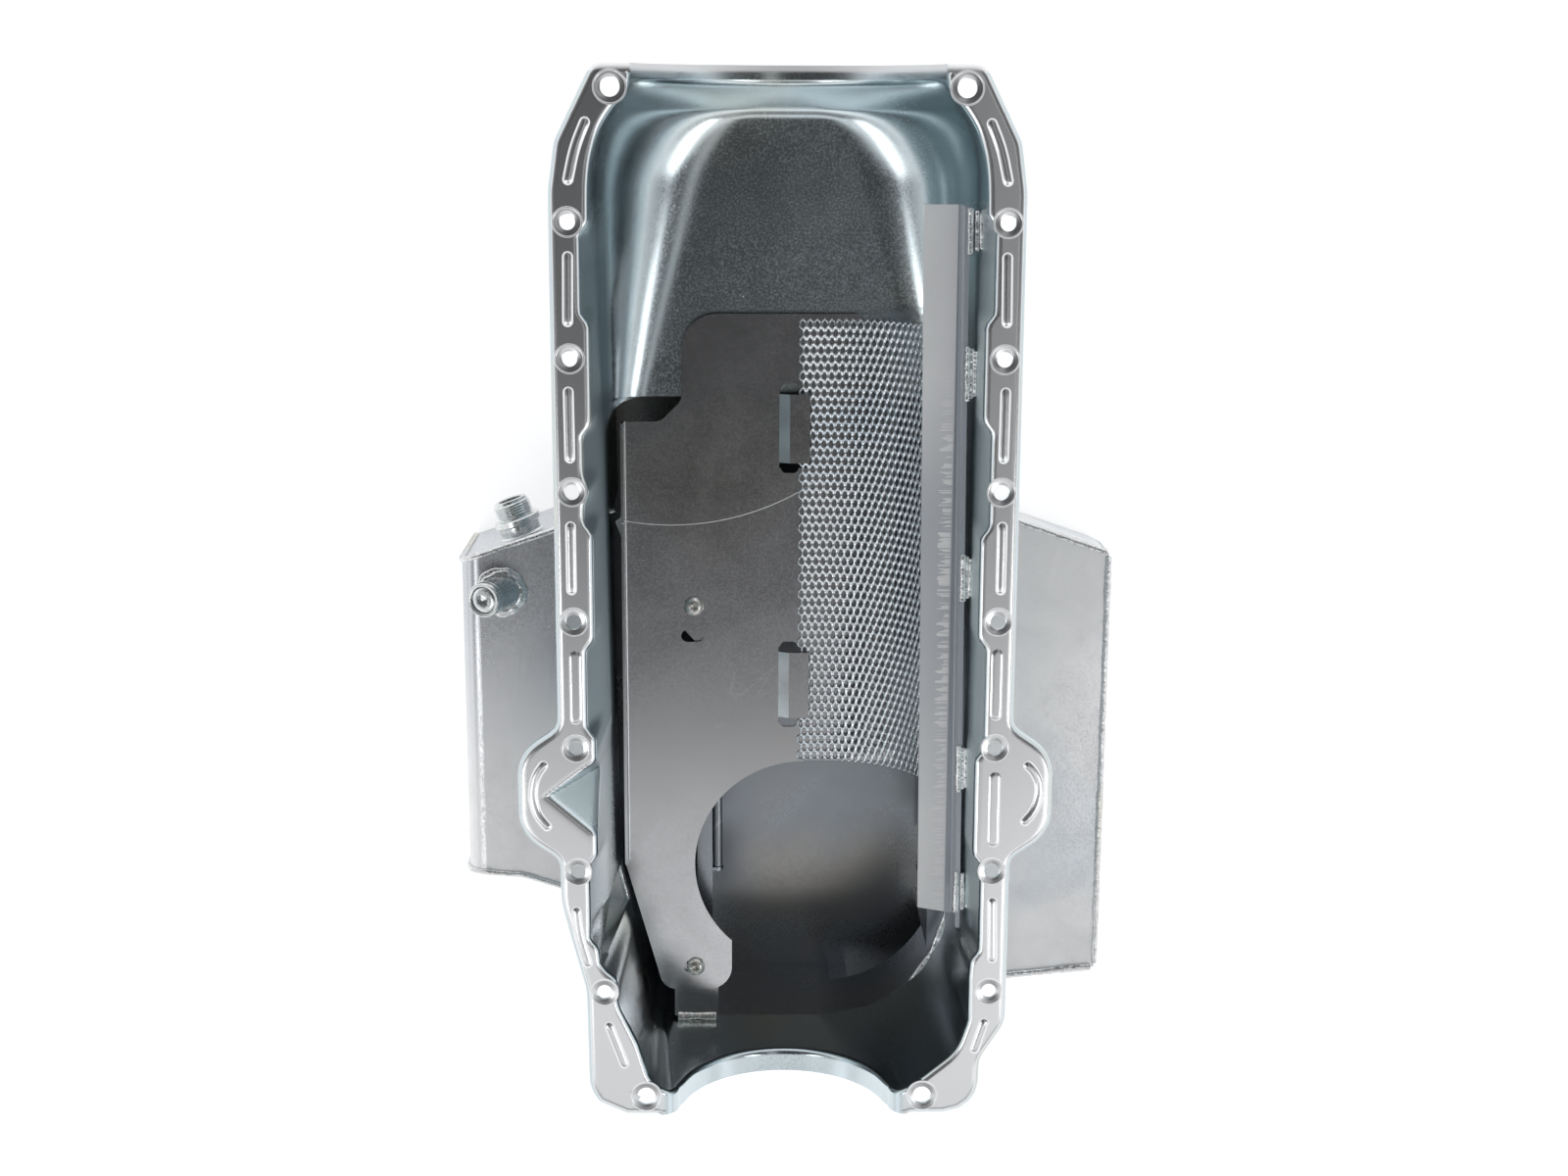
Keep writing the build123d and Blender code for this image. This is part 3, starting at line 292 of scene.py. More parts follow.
def plated(name, shade, tint, roughness, clouding=0.6, cloud_size=26.0, spread=0.1, specks=0.25, speck_size=900.0,
           lines=0.0, line_stretch=(900.0, 8.0, 900.0), hair=0.2, relief=2e-5):
    """A plated metal finish: shade is its colour, tint the colour of its stains, spread its change in roughness."""
    material = finishes[name] = bpy.data.materials.new(name + "_finish")
    material.use_nodes = True
    tree = material.node_tree
    shader = tree.nodes["Principled BSDF"].inputs
    shader["Metallic"].default_value = 1.0
    cloud = with_amounts(tree, clouds, Size=cloud_size, Contrast=1.6)
    speck = with_amounts(tree, speckle, Size=speck_size, Amount=specks)["Speck"]
    scratch = with_amounts(tree, scratches, Amount=hair)["Scratch"]
    drawn = with_amounts(tree, grain, Stretch=line_stretch)["Grain"]

    dark = tuple(v * (1.0 - 0.55 * clouding) for v in shade)
    plain = blend(tree, cloud["Cloud"], (*dark, 1.0), (*shade, 1.0))
    stained = blend(tree, ranged(tree, cloud["Hue"], 0.52, 0.78, 0.0, 0.75), plain, (*tint, 1.0))
    tree.links.new(blend(tree, scratch, stained, (0.93, 0.94, 0.95, 1.0)), shader["Base Color"])
    rough = ranged(tree, cloud["Cloud"], 0.0, 1.0, roughness + spread, max(0.04, roughness - spread))
    tree.links.new(maths(tree, "ADD", rough, speck, clamp=True), shader["Roughness"])
    height = maths(tree, "ADD", maths(tree, "MULTIPLY", drawn, lines), speck)
    bump = add(tree, "ShaderNodeBump", [("Height", height), ("Strength", 1.0), ("Distance", relief)])
    tree.links.new(bump.outputs["Normal"], shader["Normal"])


# %% Finishes of this pan
straw, sky = (0.66, 0.63, 0.5), (0.50, 0.60, 0.70)
plated("pressed_zinc", (0.62, 0.70, 0.735), straw, 0.17, clouding=0.16, spread=0.04, specks=0.09, lines=0.25,
       line_stretch=(700.0, 30.0, 30.0), hair=0.04, relief=1e-6)
plated("sump_zinc", (0.42, 0.45, 0.49), (0.50, 0.46, 0.40), 0.28, clouding=0.25, cloud_size=12.0, spread=0.03,
       specks=0.05, hair=0.0, relief=3e-6)
plated("kickout_zinc", (0.86, 0.87, 0.88), sky, 0.36, clouding=0.2, spread=0.07, specks=0.2, cloud_size=34.0,
       hair=0.15, relief=3e-6)
plated("weld_bead", (0.93, 0.94, 0.95), straw, 0.24, clouding=0.7, cloud_size=260.0, spread=0.12, specks=0.3,
       speck_size=1500.0, hair=0.0, relief=8e-5)
plated("tray_steel", (0.60, 0.605, 0.62), (0.58, 0.57, 0.55), 0.18, clouding=0.12, spread=0.03, specks=0.04,
       lines=0.6, line_stretch=(1400.0, 14.0, 1400.0), hair=0.1, relief=8e-6)
plated("screen_steel", (0.84, 0.87, 0.90), sky, 0.22, clouding=0.2, specks=0.1, hair=0.0)
plated("scraper_steel", (0.95, 0.955, 0.96), straw, 0.55, clouding=0.1, spread=0.06, specks=0.3, lines=0.6,
       line_stretch=(20.0, 1100.0, 20.0), hair=0.3)
plated("door_steel", (0.42, 0.44, 0.46), straw, 0.35, clouding=0.3, hair=0.3)
plated("pin_steel", (0.70, 0.71, 0.72), straw, 0.25, clouding=0.2, hair=0.1)
plated("fastener_steel", (0.78, 0.76, 0.72), straw, 0.24, clouding=0.3, cloud_size=200.0, hair=0.1)
plated("turned_steel", (0.80, 0.825, 0.83), straw, 0.22, clouding=0.3, cloud_size=90.0, specks=0.15, hair=0.15,
       relief=1.5e-5)
plated("copper_washer", (0.72, 0.42, 0.28), (0.45, 0.30, 0.22), 0.35, clouding=0.4, cloud_size=120.0)
print("finishes:", len(finishes))

# %% [markdown]
# ## Places where a finish changes
# Pressing, bending and handling change the plating from place to place, and some of these changes are
# painted light and shade. Each change could be a material of its own, but the edge between two materials is
# hard and follows the faces. So each is a mask by place on the piece, which mixes another colour and roughness
# into the same finish with a soft edge.


# %% Mask helpers
def start_on(finish_name):
    """The node tree of a finish, and the X, Y and Z of its surface in metres."""
    tree = finishes[finish_name].node_tree
    place = add(tree, "ShaderNodeTexCoord").outputs["Object"]
    return tree, add(tree, "ShaderNodeSeparateXYZ", [("Vector", place)]).outputs


def along(axis, start, full):
    """A mask for the finish in hand: 0 where the surface is at start along an axis, 1 where it is at full."""
    return ranged(tree, spot[axis], start, full)


def all_of(first, *others):
    """1 only where all the masks are 1."""
    for other in others:
        first = maths(tree, "MULTIPLY", first, other)
    return first


def overlay(mask, shade, roughness):
    """Another colour and roughness where the mask is 1, on the finish in hand."""
    shader = tree.nodes["Principled BSDF"].inputs
    for socket, kind, value in (("Base Color", "RGBA", (*shade, 1.0)), ("Roughness", "FLOAT", roughness)):
        before = shader[socket].links[0].from_socket
        tree.links.new(blend(tree, mask, before, value, kind), shader[socket])


# %% Gasket face, front lip and steep walls
# The press flattened the gasket face and the front lip; the gasket face is paler and less glossy than the trough. The
# front lip is painted near white and rough, a painted highlight.
# The steep walls get a rougher, hazier finish, with painted light that makes them pale on the right and painted shade
# that makes them darker on the left.
tree, spot = start_on("pressed_zinc")
overlay(maths(tree, "MAXIMUM", along("Z", -0.0010, -0.0002), along("Y", 0.2490, 0.2510)), (0.86, 0.87, 0.885), 0.25)
# Painted highlight: the front lip near white and rough.
overlay(along("Y", 0.2500, 0.2515), (0.97, 0.97, 0.98), 0.6)
steep = ranged(tree, maths(tree, "ABSOLUTE", spot["X"]), 0.0955, 0.0985)
steep = all_of(steep, along("Z", -0.0020, -0.0045), along("Y", 0.185, 0.150), along("Y", -0.235, -0.200))
# Painted light: the steep walls pale, fully on the right and partly on the left.
overlay(all_of(steep, maths(tree, "MAXIMUM", along("X", -0.0900, 0.0900), 0.35)), (0.78, 0.87, 0.88), 0.5)
# Painted shade: the left wall darker.
overlay(all_of(steep, all_of(along("X", 0.0900, -0.0900), along("Y", -0.116, -0.106))), (0.29, 0.37, 0.40), 0.5)
print("pressed zinc:", len(tree.nodes), "nodes")

# %% Left kick-out
# Towards its front and outer end it is darker and glossier.
tree, spot = start_on("kickout_zinc")
overlay(all_of(along("Y", -0.170, -0.050), along("X", -0.11, -0.13), 0.75), (0.50, 0.52, 0.56), 0.22)
print("kick-out zinc:", len(tree.nodes), "nodes")

# %% Scraper bar
# The bar is hazy, has painted shade that makes its middle darker and glossier than its ends and its bent leg dark, and
# has bright stretch marks along its bend.
tree, spot = start_on("scraper_steel")
tree.nodes["Principled BSDF"].inputs["Metallic"].default_value = 0.3
# Painted shade: the middle of the bar darker and glossier.
overlay(all_of(along("Y", 0.09, 0.01), along("Y", -0.16, -0.06), 0.8), (0.58, 0.60, 0.64), 0.34)
# Painted shade: the bent leg dark.
overlay(along("X", 0.0924, 0.0928), (0.42, 0.45, 0.50), 0.22)


def noise_along_y(per_metre, detail=0.0):
    """Noise that changes along Y alone."""
    run = maths(tree, "MULTIPLY", spot["Y"], per_metre)
    row = add(tree, "ShaderNodeCombineXYZ", [("X", 0.3), ("Y", run), ("Z", 0.7)])
    return noise(tree, row.outputs[0], detail=detail)


mark_start = ranged(tree, noise_along_y(650.0), 0.3, 0.7, 0.0893, 0.0845)
marks = all_of(ranged(tree, maths(tree, "SUBTRACT", spot["X"], mark_start), 0.0, 0.0005), along("X", 0.0925, 0.0915))
marks = all_of(marks, ranged(tree, noise_along_y(800.0, 1.0), 0.46, 0.52))
overlay(all_of(marks, along("Y", 0.095, 0.055)), (1.0, 1.0, 1.0), 0.75)
print("scraper steel:", len(tree.nodes), "nodes")

# %% Tray
# One long shallow scratch crosses the tray on a curve.
scratch_centre, scratch_radius = (-0.0642, 0.1464, 0.0), 0.1475
tree, spot = start_on("tray_steel")
in_plan = add(tree, "ShaderNodeCombineXYZ", [("X", spot["X"]), ("Y", spot["Y"])])
away = add(tree, "ShaderNodeVectorMath", [(0, in_plan.outputs[0]), (1, scratch_centre)], operation="DISTANCE")
off_line = maths(tree, "ABSOLUTE", maths(tree, "SUBTRACT", away.outputs["Value"], scratch_radius))
overlay(all_of(ranged(tree, off_line, 0.00032, 0.00010), along("Y", 0.03, 0.02)), (0.9, 0.9, 0.9), 0.55)
print("finishes with changes of place: 4")

# %% [markdown]
# ## Finishes on the frame's nodes
# Every node of the frame takes the finish that the record's material slot names. Rigid nodes whose shape
# is right already stay as they are and need nothing more.

# %% Finishes on the frame's nodes
slot_of = {row["node"]: row["material_slot"] for row in frame["record"]["subparts"]}
for node_name, node in nodes.items():
    node.data.materials.clear()
    node.data.materials.append(finishes[slot_of[node_name]])
print("dressed nodes:", len(slot_of))

# %% [markdown]
# ## Mesh helpers
# Pressings and beads are grids of points: rows of a section, swept along a line. One helper joins any
# number of grids into one mesh and welds the points that they share.


# %% Mesh helpers
def grid(points, closed=False):
    """Quads over an array of rows and columns of points; closed joins the last row to the first."""
    rows, columns = points.shape[:2]
    index = np.arange(rows * columns).reshape(rows, columns)
    if closed:
        index = np.vstack([index, index[:1]])
    quads = np.stack([index[:-1, :-1], index[1:, :-1], index[1:, 1:], index[:-1, 1:]], axis=-1)
    return points.reshape(-1, 3), quads.reshape(-1, 4)


def joined(parts):
    """Several (points, faces) pairs as one."""
    points, faces, start = [], [], 0
    for part_points, part_faces in parts:
        points.append(np.asarray(part_points, float))
        faces.extend([tuple(int(i) + start for i in face) for face in part_faces])
        start += len(part_points)
    return np.vstack(points), faces


def make_piece(name, parts, slot_name, replaces, sharp=35.0, weld=0.02):
    """A mesh piece from grids in millimetres, which rides on the pan and replaces a node of the frame."""
    points, faces = joined(parts)
    mesh = bpy.data.meshes.new(name)
    mesh.from_pydata((points * millimetre).tolist(), [], faces)
    shaped = bmesh.new()
    shaped.from_mesh(mesh)
    bmesh.ops.remove_doubles(shaped, verts=shaped.verts, dist=weld * millimetre)
    bmesh.ops.dissolve_degenerate(shaped, edges=shaped.edges, dist=0.002 * millimetre)
    bmesh.ops.recalc_face_normals(shaped, faces=shaped.faces)
    shaped.to_mesh(mesh)
    shaped.free()
    mesh.polygons.foreach_set("use_smooth", [True] * len(mesh.polygons))
    mesh.set_sharp_from_angle(angle=math.radians(sharp))
    mesh.materials.append(finishes[slot_name])
    piece = bpy.data.objects.new(name, mesh)
    bpy.context.scene.collection.objects.link(piece)
    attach(piece, "pan")
    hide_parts(replaces)
    print(name, "faces", len(mesh.polygons))
    return piece


def lathe(rows, steps=40, centre=(0, 0, 0), x_axis=(1, 0, 0), axis=(0, 0, 1)):
    """A form about an axis: rows of (radius, height), where a radius can be an array of one value per step."""
    centre, x_axis, axis = (np.asarray(v, float) for v in (centre, x_axis, axis))
    angles = np.linspace(0, 2 * math.pi, steps, endpoint=False)
    ring = np.cos(angles)[:, None] * x_axis + np.sin(angles)[:, None] * np.cross(axis, x_axis)
    points = [centre + np.broadcast_to(radius, steps)[:, None] * ring + height * axis for radius, height in rows]
    return grid(np.array(points).transpose(1, 0, 2), closed=True)


# %% [markdown]
# ## Pressed pan body
# The rail, its rolled rim, the walls and the trough are pressed from one sheet, so they are one smooth
# surface that is given 1.5 mm of thickness. Sections across the trough make its floor, from the half-round
# seat at the front to the mouth of the sump. Columns round the whole rail make the rim, the flat, the bend
# and the walls. Both use the same points where they meet.

# %% Sizes of the pressing
sheet = 1.5
rim_drop, rim_bend, wall_bend = 5.5, 4.0, 3.0
mouth_y, mouth_corner = 72.0, 20.0
mouth_half, mouth_radius, mouth_depth = 102.0, 24.0, 102.0
cut_level = -105.0
wall_below = mouth_depth - mouth_radius - wall_bend
rear_seat_radius, seat_round, rear_wall_y, rear_lip_y = 58.5, 12.0, -305.0, -318.0
side_end_y = -228.0
trough_keys = np.array([  # Y, half width, depth, corner radius
    (mouth_y, mouth_half, mouth_depth, mouth_radius), (150.0, 102.0, 100.5, 46.0), (183.0, 102.0, 99.9, 55.0),
    (195.0, 101.7, 99.8, 58.0), (205.0, 100.6, 99.7, 62.0), (215.0, 98.0, 99.5, 66.0),
    (222.0, 95.5, 99.3, 69.0), (229.5, 90.8, 98.9, 72.8), (234.0, 87.0, 94.3, 76.0),
    (238.0, 83.5, 89.5, 78.5), (241.0, 81.6, 85.0, 79.6), (243.5, 80.4, 81.0, 80.0),
    (246.0, 80.0, 80.0, 80.0), (251.5, 80.0, 80.0, 80.0),
])
pockets = {-1: [(148.0, 48.0), (41.0, 54.0), (-72.5, 51.0), (-193.0, 50.0)],
           1: [(150.0, 52.0), (41.0, 58.0), (-78.0, 64.0), (-196.5, 58.0)]}
pocket_depth, pocket_fade = 4.4, 50.0
print("keys of the trough:", len(trough_keys))


# %% Shape functions of the pressing
def between_keys(y, column):
    """A value of the trough at y, rounded by averaging the straight lines between keys."""
    offsets = np.linspace(-1, 1, 9)
    weights = 1.15 - abs(offsets)
    window = np.clip((254 - np.asarray(y, float)) * 0.13, 0.5, 7)
    total = sum(w * np.interp(y + o * window, trough_keys[:, 0], trough_keys[:, column])
                for o, w in zip(offsets, weights))
    return total / weights.sum()


def ease(t):
    """Smooth step from 0 to 1."""
    t = np.clip(t, 0, 1)
    return t * t * (3 - 2 * t)


def pocket_at(side, y):
    """How far the wall is pressed out at y, from 0 to 1."""
    amount = np.zeros_like(np.asarray(y, float))
    for middle, length in pockets[side]:
        amount = np.maximum(amount, ease((length / 2 + 3 - abs(y - middle)) / 8))
    if side < 0:
        amount = amount * (1 - 0.6 * np.exp(-(((y - 35.6) / 5.5) ** 2)))
    return amount


def plane_through(a, b, c):
    """Coefficients of z = px + qy + r through three points."""
    rows = np.array([[*p[:2], 1.0] for p in (a, b, c)])
    return np.linalg.solve(rows, np.array([p[2] for p in (a, b, c)]))


groove_tip, groove_low = (-128.3, -131.7, 0.0), (-100.5, -123.5, -34.0)
groove_front = plane_through(groove_tip, groove_low, (-102.0, -111.5, 0.0))
groove_rear = plane_through(groove_tip, groove_low, (-102.0, -154.5, 0.0))


def groove_level(x, y):
    """Height of the three-sided dipstick hollow in the left ear; 0 outside it."""
    planes = [p * np.minimum(x, -102.0) + q * y + r for p, q, r in (groove_front, groove_rear)]
    soft = 1.1
    lower = 0.5 * (planes[0] + planes[1] + np.hypot(planes[0] - planes[1], soft))
    lower = np.minimum(0.5 * (lower - np.hypot(lower, soft)) + 0.04, 0.0)
    return np.where((x < -60) & (y > -160) & (y < -105), lower, 0.0)


def pressed(points, side):
    """Adds the pockets, the lean of the lower walls and the dipstick hollow to points of the pressing."""
    points = points.copy()
    x, y, z = points[..., 0], points[..., 1], points[..., 2]
    share = np.clip(abs(x) / mouth_half, 0, 1.0) ** 4
    fade = ease((z + pocket_fade) / (pocket_fade - 4))
    out = pocket_depth * pocket_at(side, y) * fade * (abs(x) > 90) * ease((112.5 - abs(x)) / 7) * (y > side_end_y - 6)
    lower_x = np.interp(y, [-207, 72], [95.0, 100.6]) if side < 0 else np.interp(y, [-303, 72], [98.0, 102.0])
    lean = (mouth_half - lower_x) * ease((140 - y) / 68) * np.clip(z / cut_level, 0, 1) * share * (y > -207)
    points[..., 0] = x + side * (out - lean)
    if side < 0:
        level = groove_level(points[..., 0], y)
        points[..., 2] = level + z * (level - cut_level) / -cut_level
    return points


# %% Sections across the trough
wall_steps, floor_steps = 20, 18
to_corner = wall_below + mouth_radius * math.acos(1 - mouth_corner / mouth_radius)
trough_share = to_corner / (wall_below + mouth_radius * math.pi / 2 + mouth_half - mouth_radius)


def section_at(y):
    """Half width, depth and corner radius of the trough at y."""
    half, depth, corner = (between_keys(y, column) for column in (1, 2, 3))
    return half, depth, np.minimum(corner, np.minimum(half, depth))


def trough_point(y, run):
    """A point of the left half of the section at y, at a length along it measured from the rail."""
    half, depth, corner = section_at(y)
    straight = depth - corner
    angle = np.clip((run - straight) / corner, 0, math.pi / 2)
    past = np.maximum(run - straight - corner * math.pi / 2, 0)
    x = -(half - corner) - corner * np.cos(angle) + past
    z = -np.minimum(run, straight) - corner * np.sin(angle)
    return np.stack([x, np.full_like(x, y), z], axis=-1)


def trough_length(y):
    half, depth, corner = section_at(y)
    return depth - corner + corner * math.pi / 2 + half - corner


front_ys = np.concatenate([np.arange(249.0, 244.0, -0.5), np.arange(244.0, 230.0, -1.2), np.linspace(230, mouth_y, 66)])
seat_ys = np.array([253.9, 252.6, 251.3, 250.1])
shares = np.concatenate([np.linspace(0, trough_share, wall_steps + 1),
                         np.linspace(trough_share, 1, floor_steps + 1)[1:]])
sections = []
for y in np.concatenate([seat_ys, front_ys]):
    half_section = trough_point(y, wall_bend + shares * (trough_length(y) - wall_bend))
    mirrored = half_section[::-1] * (-1, 1, 1)
    sections.append(np.vstack([pressed(half_section, -1), pressed(mirrored, 1)[1:]]))
trough_rows = np.array(sections)
mouth = trough_rows[-1][wall_steps:-wall_steps]
mouth_lip = np.stack([mouth, (mouth + (0, -0.2, cut_level)) * (1, 1, 0.5), mouth * (1, 1, 0) + (0, -0.3, cut_level)])
print("trough sections:", trough_rows.shape)


# %% [markdown]
# The outlines of the rail come from the same corners and radii as the frame. A path helper rounds the
# corners; another one finds matching places on the outer, inner and lower lines.


# %% Path helpers
def rounded_path(corners, radii):
    """A dense open line through corners, each rounded to its radius."""
    corners = [np.asarray(c, float) for c in corners]
    line = [corners[0]]
    for before, here, after, radius in zip(corners, corners[1:], corners[2:], radii):
        into, out = (here - before) / np.linalg.norm(here - before), (after - here) / np.linalg.norm(after - here)
        turn = math.acos(float(np.clip(into @ out, -1, 1)))
        if radius < 0.1 or turn < 0.01:
            line.append(here)
            continue
        reach = radius * math.tan(turn / 2)
        start, side = here - into * reach, math.copysign(1, into[0] * out[1] - into[1] * out[0])
        normal = np.array([-into[1], into[0]]) * side
        centre = start + normal * radius
        for angle in np.linspace(0, turn, max(3, int(radius * turn / 1.2))):
            line.append(centre - normal * radius * math.cos(angle) + into * radius * math.sin(angle))
    line.append(corners[-1])
    dense = [line[0]]
    for a, b in zip(line, line[1:]):
        count = max(1, int(np.linalg.norm(b - a) / 1.5))
        dense.extend(a + (b - a) * (k + 1) / count for k in range(count) if np.linalg.norm(b - a) > 1e-6)
    return np.array(dense)


def lengths(path):
    return np.concatenate([[0], np.cumsum(np.linalg.norm(np.diff(path, axis=0), axis=1))])


def at_length(path, s):
    known = lengths(path)
    return np.stack([np.interp(s, known, path[:, k]) for k in range(path.shape[1])], axis=-1)


def nearest(path, point):
    return lengths(path)[np.argmin(np.linalg.norm(path - np.asarray(point, float), axis=1))]


def side_normals(path_points, side):
    """Unit normals in plan that point away from the inside of the pan."""
    run = np.gradient(path_points, axis=0)
    normal = np.stack([run[:, 1], -run[:, 0]], axis=-1) * (1 if side < 0 else -1)
    return normal / np.linalg.norm(normal, axis=1)[:, None]


# %% Outlines
outer_front = [(80, 254), (99.7, 254), (119.2, 215), (122.7, 190), (122.7, -93.5), (144.7, -108.5),
               (144.7, -153.5), (122.7, -168.5)]
outer_radii = [9, 15, 40, 9, 24, 24, 9]
outer_left = rounded_path(
    [(-x, y) for x, y in outer_front] + [(-122.7, -193), (-109.3, -245), (-108.3, -318), (-61.5, -318)],
    outer_radii + [50, 40, 22])
outer_right = rounded_path(
    outer_front + [(122.7, -264), (108.8, -286), (108.3, -318), (61.5, -318)], outer_radii + [18, 16, 20])
inner_left = rounded_path(
    [(-101.2, -228), (-98, -233), (-91.2, -238.5), (-92.6, -251), (-81.0, -276), (-75.2, -296), (-68, -304.8),
     (-61.5, -305)], [6, 7, 22, 22, 16, 7])
inner_right = rounded_path(
    [(102.0, -228), (101.4, -236), (101.8, -262), (95.5, -281), (75, -298), (66, -304.8), (61.5, -305)],
    [14, 22, 26, 30, 9])
lower_left = rounded_path([(-100.6, 52), (-95, -207), (-85.5, -248), (-76, -303.5), (-50, -303.5)], [15, 40, 13])
lower_right = rounded_path([(102, 52), (97, -303.5), (-50, -303.5)], [74])
print("outline lengths:", [round(lengths(p)[-1]) for p in (outer_left, outer_right, inner_left, inner_right)])

# %% [markdown]
# Each column crosses the pressing from the foot of the rim, over its bend, the flat and the inner bend, to
# the top of the wall. Behind the trough it goes on down the wall to the cut edge that is welded to the sump.

# %% Columns of the rail
rim_angles = np.linspace(math.pi / 2, 0, 6)
bend_angles = np.linspace(0, math.pi / 2, 6)
rail_steps = 18


def rail_column(outer, out_normal, inner, in_normal, wall_top):
    """Points from the foot of the rim to the top of the wall."""
    foot = [[*outer, -rim_drop]]
    rim = [[*(outer - out_normal * rim_bend * (1 - math.sin(a))), -rim_bend * (1 - math.cos(a))] for a in rim_angles]
    start, stop = outer - out_normal * rim_bend, inner + in_normal * wall_bend
    flat = [[*(start + (stop - start) * k / rail_steps), 0.0] for k in range(1, rail_steps)]
    bend = [[*(inner + in_normal * wall_bend * (1 - math.sin(a))), -wall_bend * (1 - math.cos(a))] for a in bend_angles]
    return np.array(foot + rim + flat + bend[:-1] + [list(wall_top)])


def wall_column(side, y):
    """Points from the top of the wall down to the cut edge, for a column behind the trough's sections."""
    share = np.linspace(0, 1, wall_steps + 1)
    if y > mouth_y - mouth_corner:
        behind = y - mouth_y + mouth_corner
        across = mouth_corner - math.sqrt(max(0, mouth_corner**2 - behind**2))
        turn = math.acos(np.clip(1 - across / mouth_radius, -1, 1))
        upper = trough_point(y, wall_bend + share * (wall_below + mouth_radius * turn)) * (-side, 1, 1)
        upper[:, 0] = side * abs(upper[:, 0])
    else:
        upper = np.stack([np.full_like(share, side * mouth_half), np.full_like(share, y),
                          -wall_bend - share * wall_below], axis=-1)
    skirt = upper[-1] + (np.array([upper[-1][0], y, cut_level]) - upper[-1]) * np.linspace(0, 1, 6)[1:, None]
    return np.vstack([upper, skirt])


columns, walls = {-1: [], 1: []}, {-1: [], 1: []}
rear_ys = np.concatenate([np.linspace(mouth_y, -104, 71), np.linspace(-105, -160, 70),
                          np.linspace(-161, side_end_y, 28)])
all_ys = np.concatenate([front_ys, rear_ys[1:]])
for side, outer_path in ((-1, outer_left), (1, outer_right)):
    keys_y = [249, 247.5, 246, 240, 230]
    keys_s = [0.0, nearest(outer_path, (side * 93, 254)), nearest(outer_path, (side * 101.5, 250.4)),
              nearest(outer_path, (side * 106.7, 240)), nearest(outer_path, (side * 111.7, 230))]
    down = outer_path[outer_path[:, 1] < 230.01]
    down = down[: np.argmin(abs(down[:, 1] + 240)) + 1]
    outer_s = [np.interp(-y, -np.array(keys_y), keys_s) if y > 230 else
               nearest(outer_path, (np.interp(-y, -down[:, 1], down[:, 0]), y)) for y in all_ys]
    outer_points = at_length(outer_path, outer_s)
    below = all_ys <= 230
    outer_points[below, 0] = np.interp(-all_ys[below], -down[:, 1], down[:, 0])
    outer_points[below, 1] = all_ys[below]
    half = between_keys(all_ys, 1)
    if side < 0:
        half = half - ease((-215 - all_ys) / 16)
    inner_points = np.stack([side * half, all_ys], axis=-1)
    out_normal = side_normals(outer_points, side)
    in_normal = side_normals(inner_points, side)
    for k, y in enumerate(all_ys):
        rim_top = abs(trough_point(y, np.array([wall_bend]))[0]) if y > mouth_y else (half[k], 0, wall_bend)
        top = np.array([side * rim_top[0], y, -rim_top[2]])
        column = rail_column(outer_points[k], out_normal[k], inner_points[k], in_normal[k], top)
        columns[side].append(pressed(column, side))
        if y <= mouth_y + 1e-6:
            walls[side].append(pressed(wall_column(side, y), side))
print("side columns:", len(columns[-1]), "with walls:", len(walls[-1]))

# %% Columns round the rear
rear_keys = {
    -1: [((-101.2, -228), (-112.2, -228), (-90.2, -228)), ((-91.6, -244), (-109.4, -246), (-86.5, -244)),
         ((-81.2, -275), (-108.7, -282), (-80.7, -275)), ((-73.7, -299), (-103, -312), (-76.6, -297)),
         ((-70.5, -301.6), (-70.5, -318), (-71, -300.5))],
    1: [((102.0, -228), (122.7, -228), (98.1, -228)), ((101.6, -257), (122.6, -258), (93.1, -256)),
        ((99.6, -271), (118, -271.5), (87.4, -267.6)), ((91.9, -284), (110, -284), (76.3, -281.8)),
        ((81.7, -292.5), (108.3, -301), (64.3, -291.6)), ((76, -297), (101, -312.5), (58, -296.2)),
        ((70.5, -301.2), (70.5, -318), (52, -298))],
}
rear_columns, rear_walls = {}, {}
skirt_share = wall_below / (-cut_level - wall_bend)
wall_share = np.concatenate([np.linspace(0, skirt_share, wall_steps + 1), np.linspace(skirt_share, 1, 6)[1:]])
for side, inner_path, outer_path, lower_path in ((-1, inner_left, outer_left, lower_left),
                                                 (1, inner_right, outer_right, lower_right)):
    s = np.linspace(0, nearest(inner_path, rear_keys[side][-1][0]), 50)
    inner_s, outer_s, lower_s = ([nearest(path, keys[k]) for keys in rear_keys[side]]
                                 for k, path in enumerate((inner_path, outer_path, lower_path)))
    inner_points = at_length(inner_path, s)
    outer_points = at_length(outer_path, np.interp(s, inner_s, outer_s))
    lower_points = at_length(lower_path, np.interp(s, inner_s, lower_s))
    out_normal, in_normal = side_normals(outer_points, side), side_normals(inner_points, side)
    in_normal[-1] = out_normal[-1] = (0, -1)
    rear_columns[side], rear_walls[side] = [], []
    for k in range(len(s)):
        top = np.array([*inner_points[k], -wall_bend])
        rear_columns[side].append(rail_column(outer_points[k], out_normal[k], inner_points[k], in_normal[k], top))
        foot = np.array([*lower_points[k], cut_level])
        rear_walls[side].append(top + (foot - top) * wall_share[:, None])
    rear_columns[side][0], rear_walls[side][0] = columns[side][-1], walls[side][-1]
print("rear columns:", len(rear_columns[-1]) + len(rear_columns[1]))

# %% [markdown]
# The rear end of the rail is a half-round seat for the seal. The flat could end on it in a sharp corner,
# but the press rolls it over a radius there. So the columns go round that roll first, then through the
# seat, and out again by the mirror image of the same places.

